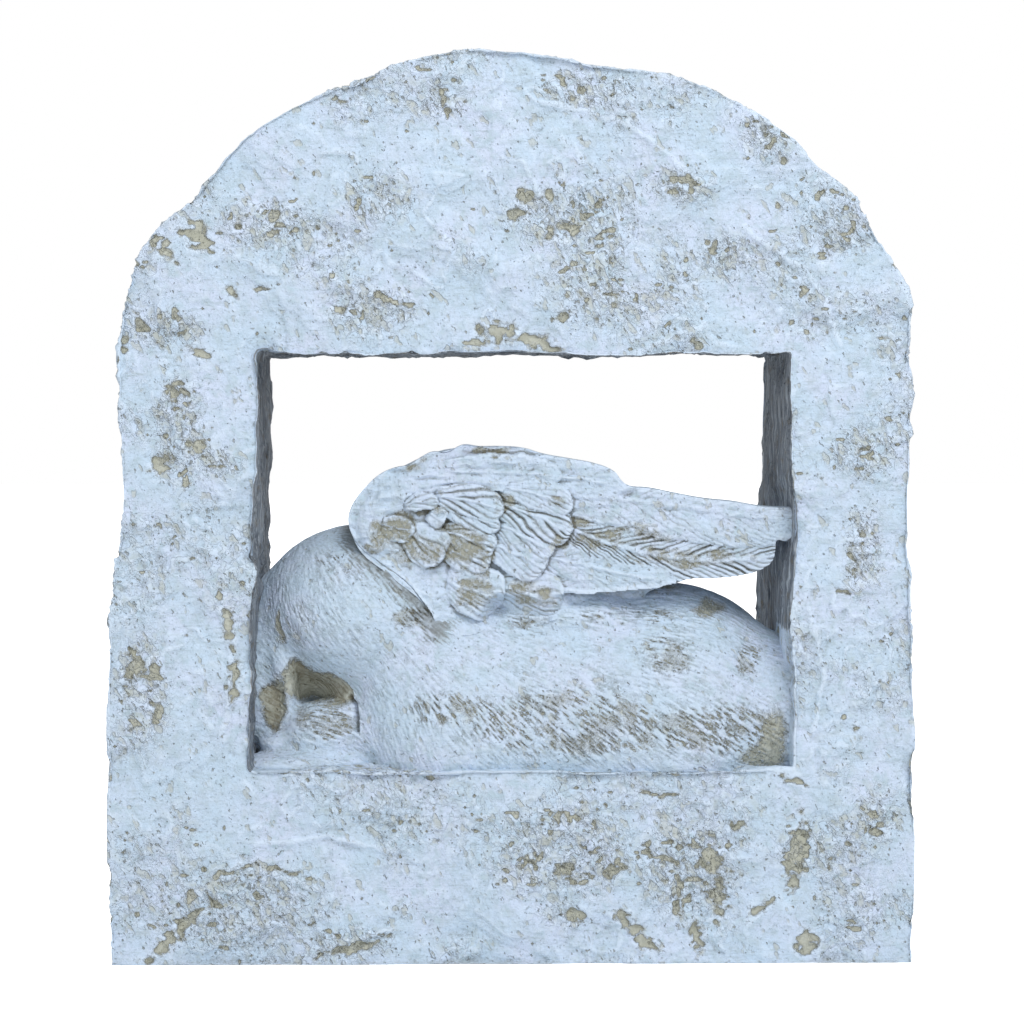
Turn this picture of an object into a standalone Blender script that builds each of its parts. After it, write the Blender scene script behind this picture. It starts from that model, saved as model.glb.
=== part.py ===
"""Pet grave marker: an arched, rough-hewn slab, and in its window a sleeping dog with folded wings.

Metres, +Z up. The side seen in the photo faces -Y and the underside lies on z = 0.
"""
import math

import bmesh
import bpy
import numpy as np
from mathutils import Vector, noise

# The slab
HEIGHT = 0.2355
WIDTH = 0.2085
THICKNESS = 0.060
ARCH_RISE = 0.072
EDGE_ROUND = 0.002
HEWN_DEPTH = 0.0022
HEWN_GRAIN = 0.020
HEWN_ON_EDGES = 0.3

# The window through it
WINDOW_WIDTH = 0.1375
WINDOW_HEIGHT = 0.1075
WINDOW_SHIFT = 0.0025
SILL_HEIGHT = 0.0505

# The dog and its wings, cast in one with the slab and running a little into both sides of the window
FIGURE_BITE = 0.0008
FIGURE_LENGTH = WINDOW_WIDTH + 2 * FIGURE_BITE
FIGURE_HEIGHT = 0.0835
FIGURE_DEPTH = 0.054
FUR_BLEND = 0.010
FACE_BLEND = 0.004
WING_THICKNESS = 0.009
WING_SETBACK = 0.0105
WEB_EDGE_ROUND = 0.00225
FEATHER_THICKNESS = 0.0046
FEATHER_BLUNTNESS = 0.6
QUILL_WIDTH_SHARE = 0.17
QUILL_RISE_SHARE = 1.5

# The finish of the solid
CAST_GRAIN = 0.0010
TRIANGLES = 9600
SHARP_ANGLE = math.radians(50)

# How far the hewn arch reaches, as shares of a true half ellipse, from the right spring to the left
ARCH_REACH = (0.992, 0.994, 0.976, 0.970, 0.976, 0.958, 0.976, 0.984, 0.996, 0.990, 0.980, 0.984, 1.000,
              1.000, 0.992, 0.972, 0.966, 0.960, 0.956, 0.932, 0.922, 0.950, 0.960, 0.964, 0.972)
# How far the sides reach, as (share of the spring height, share of the half width)
RIGHT_REACH = ((0.0, 0.990), (0.07, 1.000), (0.25, 1.000), (0.49, 0.992), (0.69, 0.986), (0.85, 0.990))
LEFT_REACH = ((0.80, 0.970), (0.72, 0.967), (0.61, 0.988), (0.43, 1.000), (0.25, 0.998), (0.0, 0.988))

# Round masses of the body, as (centre, radii), each in shares of the figure's length, depth and height
BODY = {
    "ribs": ((0.590, 0.020, 0.115), (0.430, 0.510, 0.425)),
    "rump": ((0.795, 0.000, 0.115), (0.235, 0.520, 0.430)),
    "shoulder": ((0.365, -0.035, 0.115), (0.195, 0.470, 0.430)),
    "crown": ((0.208, 0.000, 0.480), (0.205, 0.465, 0.265)),
    "cheek": ((0.170, 0.240, 0.305), (0.135, 0.240, 0.215)),
    "left joint": ((0.000, 0.095, 0.235), (0.080, 0.335, 0.300)),
    "near paw": ((0.120, -0.205, 0.065), (0.070, 0.150, 0.090)),
    "right joint": ((1.025, -0.150, 0.140), (0.100, 0.295, 0.240)),
}
# Smaller masses on the side away from the camera, given the same way
FAR_FEATURES = {
    "muzzle": ((0.320, 0.350, 0.140), (0.115, 0.165, 0.115)),
    "nose": ((0.415, 0.425, 0.140), (0.030, 0.075, 0.040)),
    "ear": ((0.120, 0.445, 0.235), (0.060, 0.075, 0.155)),
    "brow": ((0.220, 0.405, 0.315), (0.060, 0.095, 0.055)),
    "forepaw": ((0.395, 0.370, 0.055), (0.130, 0.130, 0.070)),
    "thigh": ((0.795, 0.240, 0.185), (0.185, 0.280, 0.275)),
    "hind foot": ((0.625, 0.405, 0.055), (0.120, 0.110, 0.070)),
}

# The wing's arm from the shoulder over the wrist, as (along, up, radius); radii are shares of the length
WING_ARM = ((0.330, 0.495, 0.035), (0.275, 0.580, 0.035), (0.230, 0.660, 0.040), (0.220, 0.750, 0.045),
            (0.280, 0.835, 0.050), (0.405, 0.910, 0.050), (0.535, 0.905, 0.045), (0.610, 0.880, 0.045),
            (0.685, 0.830, 0.035))
# The wing's outline, as (along, up)
WING_EDGE = ((0.185, 0.815), (0.210, 0.865), (0.275, 0.930), (0.325, 0.980), (0.405, 1.000), (0.515, 0.995),
             (0.625, 0.950), (0.680, 0.910), (0.700, 0.870), (0.795, 0.845), (0.910, 0.820), (1.010, 0.800),
             (1.010, 0.705), (0.975, 0.655), (0.940, 0.610), (0.815, 0.590), (0.720, 0.550), (0.570, 0.485),
             (0.460, 0.450), (0.385, 0.435), (0.330, 0.480), (0.270, 0.605), (0.195, 0.705))
# Flight feathers and short feathers, as (root along, root up, tip along, tip up, width share, lift share)
FLIGHT = (
    (0.595, 0.815, 0.990, 0.750, 0.065, 0.15),
    (0.590, 0.740, 0.965, 0.665, 0.050, 0.45),
    (0.560, 0.650, 0.800, 0.575, 0.055, 0.10),
    (0.560, 0.550, 0.720, 0.535, 0.045, 0.00),
)
COVERTS = (
    (0.365, 0.575, 0.460, 0.515, 0.065, 0.00),
    (0.470, 0.560, 0.575, 0.505, 0.065, 0.10),
    (0.345, 0.730, 0.300, 0.635, 0.055, 0.05),
    (0.360, 0.655, 0.440, 0.625, 0.040, 0.10),
    (0.445, 0.680, 0.545, 0.610, 0.045, 0.15),
    (0.355, 0.720, 0.445, 0.690, 0.035, 0.25),
    (0.460, 0.745, 0.555, 0.680, 0.045, 0.35),
    (0.360, 0.780, 0.460, 0.755, 0.035, 0.40),
    (0.295, 0.755, 0.240, 0.755, 0.040, 0.30),
    (0.345, 0.845, 0.455, 0.815, 0.040, 0.50),
    (0.465, 0.820, 0.585, 0.720, 0.050, 0.55),
    (0.525, 0.830, 0.590, 0.790, 0.035, 0.60),
)


def clear_scene():
    """Take the start-up objects away."""
    for thing in list(bpy.data.objects):
        bpy.data.objects.remove(thing, do_unlink=True)


def link(name, data):
    """Put new object data in the scene."""
    thing = bpy.data.objects.new(name, data)
    bpy.context.collection.objects.link(thing)
    return thing


def settle(thing):
    """Swap an object's modifiers or curves for the plain mesh that they make."""
    graph = bpy.context.evaluated_depsgraph_get()
    mesh = bpy.data.meshes.new_from_object(thing.evaluated_get(graph))
    name = thing.name
    bpy.data.objects.remove(thing, do_unlink=True)
    return link(name, mesh)


def remesh(thing, grain):
    """Make one even skin round everything in a mesh."""
    skin = thing.modifiers.new("skin", "REMESH")
    skin.mode = "VOXEL"
    skin.voxel_size = grain
    return settle(thing)


def join(name, things):
    """Gather several meshes in one."""
    whole = bmesh.new()
    for thing in things:
        whole.from_mesh(thing.data)
        bpy.data.objects.remove(thing, do_unlink=True)
    mesh = bpy.data.meshes.new(name)
    whole.to_mesh(mesh)
    whole.free()
    return link(name, mesh)


def read_points(mesh):
    """The mesh's vertices as rows of x, y and z."""
    flat = np.empty(len(mesh.vertices) * 3)
    mesh.vertices.foreach_get("co", flat)
    return flat.reshape(-1, 3)


def write_points(mesh, points):
    """Put moved vertices back in the mesh."""
    mesh.vertices.foreach_set("co", points.ravel())
    mesh.update()


def read_normals(mesh):
    """The vertex normals as rows."""
    flat = np.empty(len(mesh.vertices) * 3)
    mesh.vertex_normals.foreach_get("vector", flat)
    return flat.reshape(-1, 3)


def slab_outline():
    """The slab's outline, round from its right foot over the arch to its left foot."""
    spring = HEIGHT - ARCH_RISE
    half = WIDTH / 2
    points = [(half * reach, spring * up) for up, reach in RIGHT_REACH]
    last = len(ARCH_REACH) - 1
    for step, reach in enumerate(ARCH_REACH):
        angle = math.pi * step / last
        points.append((half * reach * math.cos(angle), spring + ARCH_RISE * reach * math.sin(angle)))
    points += [(half * reach * -1, spring * up) for up, reach in LEFT_REACH]
    return points


def window_outline():
    """The window's outline."""
    left = WINDOW_SHIFT - WINDOW_WIDTH / 2
    right = left + WINDOW_WIDTH
    top = SILL_HEIGHT + WINDOW_HEIGHT
    return [(left, SILL_HEIGHT), (left, top), (right, top), (right, SILL_HEIGHT)]


def add_spline(curve, outline, rounded):
    """Draw a closed outline in a flat curve, with smooth or straight stretches."""
    spline = curve.splines.new("BEZIER")
    spline.bezier_points.add(len(outline) - 1)
    for knot, (along, up) in zip(spline.bezier_points, outline):
        knot.co = (along, up, 0.0)
        kind = "AUTO" if rounded and up > 0.0 else "VECTOR"
        knot.handle_left_type = kind
        knot.handle_right_type = kind
    spline.use_cyclic_u = True


def plate(name, outlines, thickness, middle):
    """An upright plate with the given outlines; the first is its edge and the rest are holes."""
    curve = bpy.data.curves.new(name, "CURVE")
    curve.dimensions = "2D"
    curve.fill_mode = "BOTH"
    curve.resolution_u = 4
    for outline, rounded in outlines:
        add_spline(curve, outline, rounded)
    curve.extrude = thickness / 2
    flat = settle(link(name, curve))
    points = read_points(flat.data)
    upright = np.column_stack((points[:, 0], middle - points[:, 2], points[:, 1]))
    write_points(flat.data, upright)
    shell = bmesh.new()
    shell.from_mesh(flat.data)
    bmesh.ops.remove_doubles(shell, verts=shell.verts, dist=0.00002)
    bmesh.ops.recalc_face_normals(shell, faces=shell.faces)
    shell.to_mesh(flat.data)
    shell.free()
    return flat


def rounded_edges(thing, width):
    """Round every sharp edge of a plate."""
    soft = thing.modifiers.new("soft edges", "BEVEL")
    soft.width = width
    soft.segments = 2
    soft.limit_method = "ANGLE"
    soft.angle_limit = math.radians(45)
    return settle(thing)


def hewn(point):
    """How deep the chisel has gone at a point: broad dips with smaller ones in them."""
    broad = noise.noise(Vector(point) / HEWN_GRAIN)
    fine = noise.noise(Vector(point) / (HEWN_GRAIN * 0.4))
    return HEWN_DEPTH * min(max(0.5 + 0.6 * broad + 0.2 * fine, 0.0), 1.0)


def make_slab():
    """The slab, reaching a little below the ground so that its foot can be cut flat."""
    outline = slab_outline()
    below = -EDGE_ROUND
    outline = [(along, up if up > 0.0 else below) for along, up in outline]
    slab = plate("slab", [(outline, True), (window_outline(), False)], THICKNESS, 0.0)
    slab = rounded_edges(slab, EDGE_ROUND)
    slab = remesh(slab, CAST_GRAIN * 2)
    points = read_points(slab.data)
    normals = read_normals(slab.data)
    faces = HEWN_ON_EDGES + (1.0 - HEWN_ON_EDGES) * np.abs(normals[:, 1])
    cuts = np.array([hewn(point) for point in points]) * faces
    write_points(slab.data, points - normals * cuts[:, None])
    return slab


def on_figure(along, deep, up):
    """A place on the figure in metres, from shares of its length, depth and height."""
    left = WINDOW_SHIFT - FIGURE_LENGTH / 2
    return np.array((left + along * FIGURE_LENGTH, deep * FIGURE_DEPTH, SILL_HEIGHT + up * FIGURE_HEIGHT))


def mass_size(radii):
    """A round mass's radii in metres."""
    return np.array(radii) * (FIGURE_LENGTH, FIGURE_DEPTH, FIGURE_HEIGHT)


def mass_distance(points, mass):
    """Nearly the distance from each point to a round mass, negative inside it."""
    centre, radii = mass
    size = mass_size(radii)
    scaled = (points - on_figure(*centre)) / size
    near = np.linalg.norm(scaled, axis=1)
    steep = np.linalg.norm(scaled / size, axis=1)
    return near * (near - 1.0) / np.maximum(steep, 1e-9)


def blend(first, second, width):
    """The nearer of two distances, with a soft hollow where the masses meet."""
    part = np.clip(0.5 + 0.5 * (second - first) / width, 0.0, 1.0)
    return second * (1.0 - part) + first * part - width * part * (1.0 - part)


def body_distance(points):
    """Nearly the distance from each point to the dog's skin."""
    skin = np.full(len(points), FIGURE_LENGTH)
    for mass in BODY.values():
        skin = blend(skin, mass_distance(points, mass), FUR_BLEND)
    for mass in FAR_FEATURES.values():
        skin = blend(skin, mass_distance(points, mass), FACE_BLEND)
    return skin


def add_mass(shell, mass):
    """Add one round mass to a mesh under construction."""
    centre, radii = mass
    size = mass_size(radii)
    ball = bmesh.ops.create_uvsphere(shell, u_segments=32, v_segments=20, radius=1.0)
    for point in ball["verts"]:
        point.co = Vector(np.array(point.co) * size + on_figure(*centre))


def make_dog():
    """The dog's body, its masses drawn together under one skin."""
    shell = bmesh.new()
    for mass in list(BODY.values()) + list(FAR_FEATURES.values()):
        add_mass(shell, mass)
    mesh = bpy.data.meshes.new("dog")
    shell.to_mesh(mesh)
    shell.free()
    dog = remesh(link("dog", mesh), CAST_GRAIN * 1.5)
    for _ in range(6):
        points = read_points(dog.data)
        reach = np.clip(body_distance(points), -CAST_GRAIN, CAST_GRAIN)
        write_points(dog.data, points - read_normals(dog.data) * reach[:, None])
    return remesh(dog, CAST_GRAIN)


def make_arm(side):
    """The round arm along the top of one wing."""
    middle = wing_middle(side) / FIGURE_DEPTH
    curve = bpy.data.curves.new("arm", "CURVE")
    curve.dimensions = "3D"
    curve.resolution_u = 6
    curve.bevel_depth = 1.0
    curve.bevel_resolution = 4
    curve.use_fill_caps = True
    path = curve.splines.new("BEZIER")
    path.bezier_points.add(len(WING_ARM) - 1)
    for knot, (along, up, radius) in zip(path.bezier_points, WING_ARM):
        knot.co = on_figure(along, middle, up)
        knot.radius = radius * FIGURE_LENGTH
        knot.handle_left_type = "AUTO"
        knot.handle_right_type = "AUTO"
    return settle(link("arm", curve))


def wing_middle(side):
    """Where the middle of a wing's thickness lies."""
    return side * (THICKNESS / 2 - WING_SETBACK - WING_THICKNESS / 2)


def add_feather(shell, feather, side):
    """Add one feather to a mesh under construction: a long round-ended pad with a raised quill."""
    root_along, root_up, tip_along, tip_up, width, lift = feather
    face = wing_middle(side) + side * (WING_THICKNESS / 2 + FEATHER_THICKNESS * (lift - 0.4) * 0.6)
    root = Vector(on_figure(root_along, face / FIGURE_DEPTH, root_up))
    tip = Vector(on_figure(tip_along, face / FIGURE_DEPTH, tip_up))
    ahead = tip - root
    middle = root + ahead * 0.45
    half_length = ahead.length * 0.55
    ahead.normalize()
    out = Vector((0.0, side, 0.0))
    across = ahead.cross(out)
    vane = width * FIGURE_LENGTH / 2
    thick = FEATHER_THICKNESS / 2
    pads = ((vane, thick), (vane * QUILL_WIDTH_SHARE, thick * QUILL_RISE_SHARE))
    for half_width, half_thickness in pads:
        pad = bmesh.ops.create_uvsphere(shell, u_segments=20, v_segments=12, radius=1.0)
        for point in pad["verts"]:
            blunt = math.copysign(abs(point.co.z) ** FEATHER_BLUNTNESS, point.co.z)
            place = middle + ahead * blunt * half_length
            point.co = place + across * point.co.x * half_width + out * point.co.y * half_thickness


def make_wing(side, feathers):
    """One wing: arm, web and feathers. Side -1 faces the camera and side 1 faces away."""
    edge = [tuple(on_figure(along, 0.0, up)[[0, 2]]) for along, up in WING_EDGE]
    web = plate("web", [(edge, True)], WING_THICKNESS, wing_middle(side))
    web = rounded_edges(web, WEB_EDGE_ROUND)
    shell = bmesh.new()
    for feather in feathers:
        add_feather(shell, feather, side)
    mesh = bpy.data.meshes.new("feathers")
    shell.to_mesh(mesh)
    shell.free()
    return [make_arm(side), web, link("feathers", mesh)]


def keep_outer_skin(thing):
    """Drop every loose shell except the largest."""
    shell = bmesh.new()
    shell.from_mesh(thing.data)
    unseen = set(shell.verts)
    groups = []
    while unseen:
        group = [unseen.pop()]
        for point in group:
            for line in point.link_edges:
                other = line.other_vert(point)
                if other in unseen:
                    unseen.remove(other)
                    group.append(other)
        groups.append(group)
    groups.sort(key=len)
    loose = [point for group in groups[:-1] for point in group]
    bmesh.ops.delete(shell, geom=loose, context="VERTS")
    shell.to_mesh(thing.data)
    shell.free()


def thin_out(thing):
    """Bring a dense skin down to the triangles that its shape needs."""
    thing.data.calc_loop_triangles()
    thinner = thing.modifiers.new("thinner", "DECIMATE")
    thinner.ratio = TRIANGLES / len(thing.data.loop_triangles)
    return settle(thing)


def cut_foot(thing):
    """Cut the foot off flat at z = 0."""
    block = bmesh.new()
    bmesh.ops.create_cube(block, size=1.0)
    size = (WIDTH * 2, THICKNESS * 2, EDGE_ROUND * 8)
    bmesh.ops.scale(block, vec=size, verts=block.verts)
    bmesh.ops.translate(block, vec=(0.0, 0.0, -EDGE_ROUND * 4), verts=block.verts)
    mesh = bpy.data.meshes.new("ground")
    block.to_mesh(mesh)
    block.free()
    ground = link("ground", mesh)
    cut = thing.modifiers.new("foot", "BOOLEAN")
    cut.operation = "DIFFERENCE"
    cut.solver = "EXACT"
    cut.object = ground
    flat = settle(thing)
    bpy.data.objects.remove(ground, do_unlink=True)
    return flat


def stand_on_origin(thing):
    """Put the middle of the stone over the origin, with its foot exactly on the ground."""
    points = read_points(thing.data)
    middle = (points.min(axis=0) + points.max(axis=0)) / 2
    points[:, :2] -= middle[:2]
    points[np.abs(points[:, 2]) < 1e-7, 2] = 0.0
    write_points(thing.data, points)


def whitewash():
    """A plain pale stone finish."""
    finish = bpy.data.materials.new("whitewashed_stone")
    finish.use_nodes = True
    shader = finish.node_tree.nodes["Principled BSDF"]
    shader.inputs["Base Color"].default_value = (0.54, 0.67, 0.81, 1.0)
    shader.inputs["Roughness"].default_value = 0.85
    return finish


def make_marker():
    """The whole stone as one casting."""
    pieces = [make_slab(), make_dog()]
    pieces += make_wing(-1, FLIGHT + COVERTS)
    pieces += make_wing(1, FLIGHT + COVERTS[::2])
    marker = join("grave_marker", pieces)
    marker = remesh(marker, CAST_GRAIN)
    keep_outer_skin(marker)
    marker = thin_out(marker)
    marker = cut_foot(marker)
    stand_on_origin(marker)
    marker.data.shade_smooth()
    marker.data.set_sharp_from_angle(angle=SHARP_ANGLE)
    marker.data.materials.append(whitewash())
    marker.name = "grave_marker"


clear_scene()
make_marker()
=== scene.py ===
"""Looks of the pet grave marker: a whitewashed stone, and in its window a sleeping dog with folded wings.

Metres, +Z up. The side seen in the photo faces -Y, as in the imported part.
"""
import itertools
import math

import bmesh
import bpy
import numpy as np
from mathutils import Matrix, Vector, kdtree, noise


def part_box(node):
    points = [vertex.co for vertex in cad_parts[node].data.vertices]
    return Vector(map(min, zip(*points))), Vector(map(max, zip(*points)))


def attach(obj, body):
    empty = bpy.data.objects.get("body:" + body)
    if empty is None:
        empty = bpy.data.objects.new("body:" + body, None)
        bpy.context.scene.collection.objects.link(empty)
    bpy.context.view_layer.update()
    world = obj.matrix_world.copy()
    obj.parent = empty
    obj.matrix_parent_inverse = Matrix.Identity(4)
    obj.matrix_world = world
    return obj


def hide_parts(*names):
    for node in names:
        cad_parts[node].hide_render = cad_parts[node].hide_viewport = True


MM = 0.001

# The slab
HEIGHT = 0.2355
WIDTH = 0.2085
THICKNESS = 0.060
ARCH_RISE = 0.072
EDGE_ROUND = 0.002
WINDOW_EDGE_ROUND = 0.0007
HEWN_DEPTH = 0.0022
HEWN_GRAIN = 0.020
HEWN_ON_EDGES = 0.3

# The window through it; its sides lean, and each corner's lean is given at the front and at the back
WINDOW_WIDTH = 0.1375
WINDOW_HEIGHT = 0.1075
WINDOW_SHIFT = 0.0025
SILL_HEIGHT = 0.0505
WINDOW_LEFT = WINDOW_SHIFT - WINDOW_WIDTH / 2
WINDOW_RIGHT = WINDOW_LEFT + WINDOW_WIDTH
WINDOW_TOP = SILL_HEIGHT + WINDOW_HEIGHT
LEFT_LEAN = ((-1.2 * MM, 0.0 * MM), (2.2 * MM, -0.1 * MM))
RIGHT_LEAN = ((1.8 * MM, -2.6 * MM), (0.0 * MM, -0.6 * MM))
LEAN_REACH = 0.010
LIP_DROP = 0.0011
JAMB_REACH = 0.0045

# The dog and its wings
FIGURE_BITE = 0.0008
FIGURE_LENGTH = WINDOW_WIDTH + 2 * FIGURE_BITE
FIGURE_HEIGHT = 0.0835
FIGURE_DEPTH = 0.054
FUR_BLEND = 0.010
FACE_BLEND = 0.004
WING_THICKNESS = 0.009
WING_SETBACK = 0.0105
WEB_EDGE_ROUND = 0.00225

# How fine the meshes are, and what share of them stays on the sides that turn away
FRAME_GRAIN = 0.00062
DOG_GRAIN = 0.00033
NEAR_WING_GRAIN = 0.00027
FAR_WING_GRAIN = 0.00045
MOST_TRIANGLES = 194000
FRAME_SHARE = 0.20
DOG_SHARE = 0.15
WING_SHARE = 0.25

# How far the hewn arch reaches, as shares of a true half ellipse, from the right spring to the left
ARCH_REACH = (0.984, 0.984, 0.966, 0.960, 0.966, 0.950, 0.966, 0.974, 0.986, 0.980, 0.970, 0.978, 0.996,
              0.998, 0.984, 0.962, 0.958, 0.952, 0.946, 0.922, 0.912, 0.940, 0.952, 0.956, 0.964)
# How far the sides reach, as (share of the spring height, share of the half width)
RIGHT_REACH = ((0.0, 0.994), (0.07, 1.000), (0.25, 1.000), (0.49, 0.996), (0.69, 0.984), (0.85, 0.983))
LEFT_REACH = ((0.80, 0.961), (0.72, 0.958), (0.61, 0.982), (0.43, 0.996), (0.25, 0.998), (0.0, 0.992))

# Bare chips in the front's whitewash, in millimetres and degrees: along, up, half width, half height, turn
CHIPS = (
    (53.3, 17.0, 2.3, 5.8, 0), (51.6, 26.9, 3.2, 3.6, 20), (73.5, 28.0, 2.4, 8.8, -8),
    (42.9, 19.0, 1.2, 7.9, 4), (29.6, 10.9, 5.2, 1.6, -25), (34.8, 5.3, 4.4, 1.8, -40),
    (16.8, 12.3, 2.4, 1.8, 0), (13.7, 24.2, 2.9, 2.7, 0), (27.0, 24.3, 3.6, 2.0, 15),
    (47.9, 6.7, 2.0, 3.8, 10), (76.2, 4.5, 2.7, 2.6, 0), (64.5, 15.1, 3.1, 1.2, 20),
    (33.8, 29.4, 0.9, 2.8, -30), (38.7, 26.1, 1.3, 2.2, 0), (58.2, 35.8, 2.2, 1.5, 0),
    (38.0, 43.9, 5.8, 0.5, 0), (71.2, 47.4, 4.1, 0.8, -15), (3.8, 197.7, 2.3, 1.5, 0),
    (9.0, 197.0, 1.5, 1.7, 0), (1.2, 193.8, 2.4, 1.5, 0), (9.9, 188.4, 1.4, 2.0, 0),
    (15.6, 189.6, 2.0, 1.9, 0), (42.4, 198.7, 2.9, 1.8, -30), (51.3, 185.5, 1.7, 1.7, 0),
    (13.1, 167.4, 1.8, 1.5, 0), (31.7, 171.5, 0.8, 1.3, 0), (-2.5, 163.4, 7.0, 2.0, -4),
    (5.5, 161.4, 7.0, 1.5, -14), (-10.5, 160.8, 5.0, 0.7, 6), (47.1, 161.6, 1.5, 1.0, 0),
    (-79.9, 187.5, 4.6, 3.0, -35), (-89.2, 184.5, 1.8, 4.2, 40), (-61.4, 192.9, 2.2, 1.2, 35),
    (-94.5, 165.0, 1.3, 1.4, 0), (-80.4, 158.0, 2.6, 1.3, -30), (-86.5, 147.9, 2.3, 2.2, 0),
    (-72.8, 173.1, 1.0, 2.2, 40), (-64.1, 174.2, 3.2, 0.6, 10), (-72.5, 86.8, 1.3, 5.1, 10),
    (-71.4, 75.3, 1.0, 6.0, 0), (-88.0, 7.0, 7.5, 1.6, 42), (-80.5, 13.5, 5.5, 1.1, 38),
    (-41.5, 4.4, 8.6, 1.2, 14), (-75.1, 23.7, 3.5, 0.9, 25), (-59.0, 24.3, 7.5, 0.5, -18),
    (-89.9, 129.0, 2.8, 2.2, 0), (-99.1, 161.4, 1.0, 3.5, 0), (-92.3, 95.1, 1.4, 1.9, 0),
    (-96.5, 77.8, 2.6, 4.0, 20), (-90.8, 65.0, 1.3, 2.8, 0), (-80.9, 134.8, 2.2, 2.0, 30),
    (-84.0, 123.5, 1.6, 2.8, -30), (93.5, 34.0, 2.0, 1.4, 20), (88.0, 104.0, 1.0, 2.6, 10),
    (86.5, 96.5, 1.6, 0.8, -20), (91.5, 133.0, 2.6, 1.0, 25), (-44.0, 168.3, 2.2, 0.9, 15),
    (-33.5, 172.0, 2.0, 1.6, -40), (69.5, 207.5, 2.2, 0.9, -40), (64.0, 213.5, 1.8, 0.8, -30),
)
# Torn outlines add to the chips, so each is drawn a little smaller
CHIP_SHARE = 0.84
# Where small pits crowd on the front, in millimetres: along, up, half width and half height
PITTED = (
    (-33.8, 196.9, 10.2, 7.7), (14.8, 192.4, 17.9, 8.3), (27.7, 177.0, 20.5, 13.4),
    (43.0, 200.1, 10.2, 4.5), (55.8, 181.5, 7.7, 7.7), (66.1, 212.9, 7.7, 7.0), (84.0, 189.2, 10.2, 7.7),
    (-35.1, 168.7, 11.5, 6.4), (-61.3, 190.5, 14.7, 6.4), (-88.8, 163.6, 11.5, 5.1),
    (-85.6, 138.0, 7.0, 15.4), (-76.0, 129.7, 6.4, 4.5), (-95.2, 70.2, 7.7, 16.6),
    (90.4, 132.2, 10.2, 7.0), (90.4, 107.3, 5.1, 12.8), (12.3, 29.8, 20.5, 13.4),
    (46.1, 25.4, 13.4, 14.9), (80.1, 30.5, 14.1, 7.7), (93.6, 38.2, 7.0, 7.7), (-70.9, 15.1, 24.3, 12.8),
    (-41.5, 5.5, 12.8, 4.5), (-19.7, 222.5, 9.0, 5.1), (20.0, 225.0, 12.8, 5.1),
)
# Where the front is almost free of pits, given the same way
SMOOTH = (
    (33.0, 181.0, 5.0, 9.0), (-70.0, 177.0, 14.0, 6.0), (-57.0, 163.0, 10.0, 7.0),
    (-20.0, 180.0, 9.0, 5.0), (-72.0, 58.0, 9.0, 9.0), (-60.0, 35.0, 16.0, 7.0), (-20.0, 25.0, 10.0, 8.0),
    (60.0, 168.0, 14.0, 8.0), (84.0, 150.0, 9.0, 12.0), (82.0, 60.0, 10.0, 12.0),
    (-30.0, 212.0, 16.0, 5.0), (0.0, 215.0, 12.0, 4.0),
)
# Raised lines that the knife left on the front, in millimetres: places along and up, one after another
KNIFE_LINES = (
    ((-85.0, 16.4), (-69.6, 25.9), (-49.7, 19.5)), ((-92.7, 2.3), (-76.0, 16.4)),
    ((-51.7, 3.6), (-31.2, 8.7)), ((25.1, 12.6), (35.3, 4.9)), ((-8.1, 165.4), (7.9, 160.2)),
    ((31.7, 159.0), (48.4, 164.1)), ((-50.0, 179.0), (-38.0, 172.5), (-26.0, 169.0)),
    ((8.0, 222.0), (30.0, 216.0), (45.0, 204.0)), ((60.0, 190.0), (78.0, 176.0), (84.0, 160.0)),
    ((-75.0, 92.0), (-71.0, 84.0), (-73.5, 62.0)), ((76.0, 92.0), (80.0, 74.0), (77.0, 60.0)),
    ((-66.0, 31.0), (-48.0, 33.0), (-30.0, 29.0)),
)

# Round masses of the body, as (centre, radii), each in shares of the figure's length, depth and height
BODY = {
    "ribs": ((0.590, 0.020, 0.115), (0.430, 0.510, 0.425)),
    "rump": ((0.795, 0.000, 0.115), (0.235, 0.520, 0.430)),
    "shoulder": ((0.365, -0.035, 0.115), (0.195, 0.470, 0.430)),
    "crown": ((0.208, 0.000, 0.480), (0.205, 0.465, 0.265)),
    "cheek": ((0.170, 0.240, 0.305), (0.135, 0.240, 0.215)),
    "left joint": ((0.000, 0.095, 0.235), (0.080, 0.335, 0.300)),
    "near paw": ((0.120, -0.205, 0.065), (0.070, 0.150, 0.090)),
    "right joint": ((1.025, -0.150, 0.140), (0.100, 0.295, 0.240)),
}
# Smaller masses on the side away from the camera, given the same way
FAR_FEATURES = {
    "muzzle": ((0.320, 0.350, 0.140), (0.115, 0.165, 0.115)),
    "nose": ((0.415, 0.425, 0.140), (0.030, 0.075, 0.040)),
    "ear": ((0.120, 0.445, 0.235), (0.060, 0.075, 0.155)),
    "brow": ((0.220, 0.405, 0.315), (0.060, 0.095, 0.055)),
    "forepaw": ((0.395, 0.370, 0.055), (0.130, 0.130, 0.070)),
    "thigh": ((0.795, 0.240, 0.185), (0.185, 0.280, 0.275)),
    "hind foot": ((0.625, 0.405, 0.055), (0.120, 0.110, 0.070)),
}
# Small lumps of casting by the chin and paw and under the wing on the near side, given the same way
NEAR_LUMPS = {
    "chin lump": ((0.050, -0.195, 0.305), (0.024, 0.074, 0.072)),
    "lump tail": ((0.061, -0.170, 0.190), (0.012, 0.070, 0.070)),
    "paw tip": ((0.040, -0.220, 0.058), (0.034, 0.075, 0.028)),
    "sill ramp": ((0.085, -0.270, -0.004), (0.125, 0.170, 0.042)),
    "paw back": ((0.133, -0.200, 0.111), (0.065, 0.140, 0.072)),
    "wing rest": ((0.590, -0.195, 0.455), (0.150, 0.165, 0.075)),
}
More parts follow.
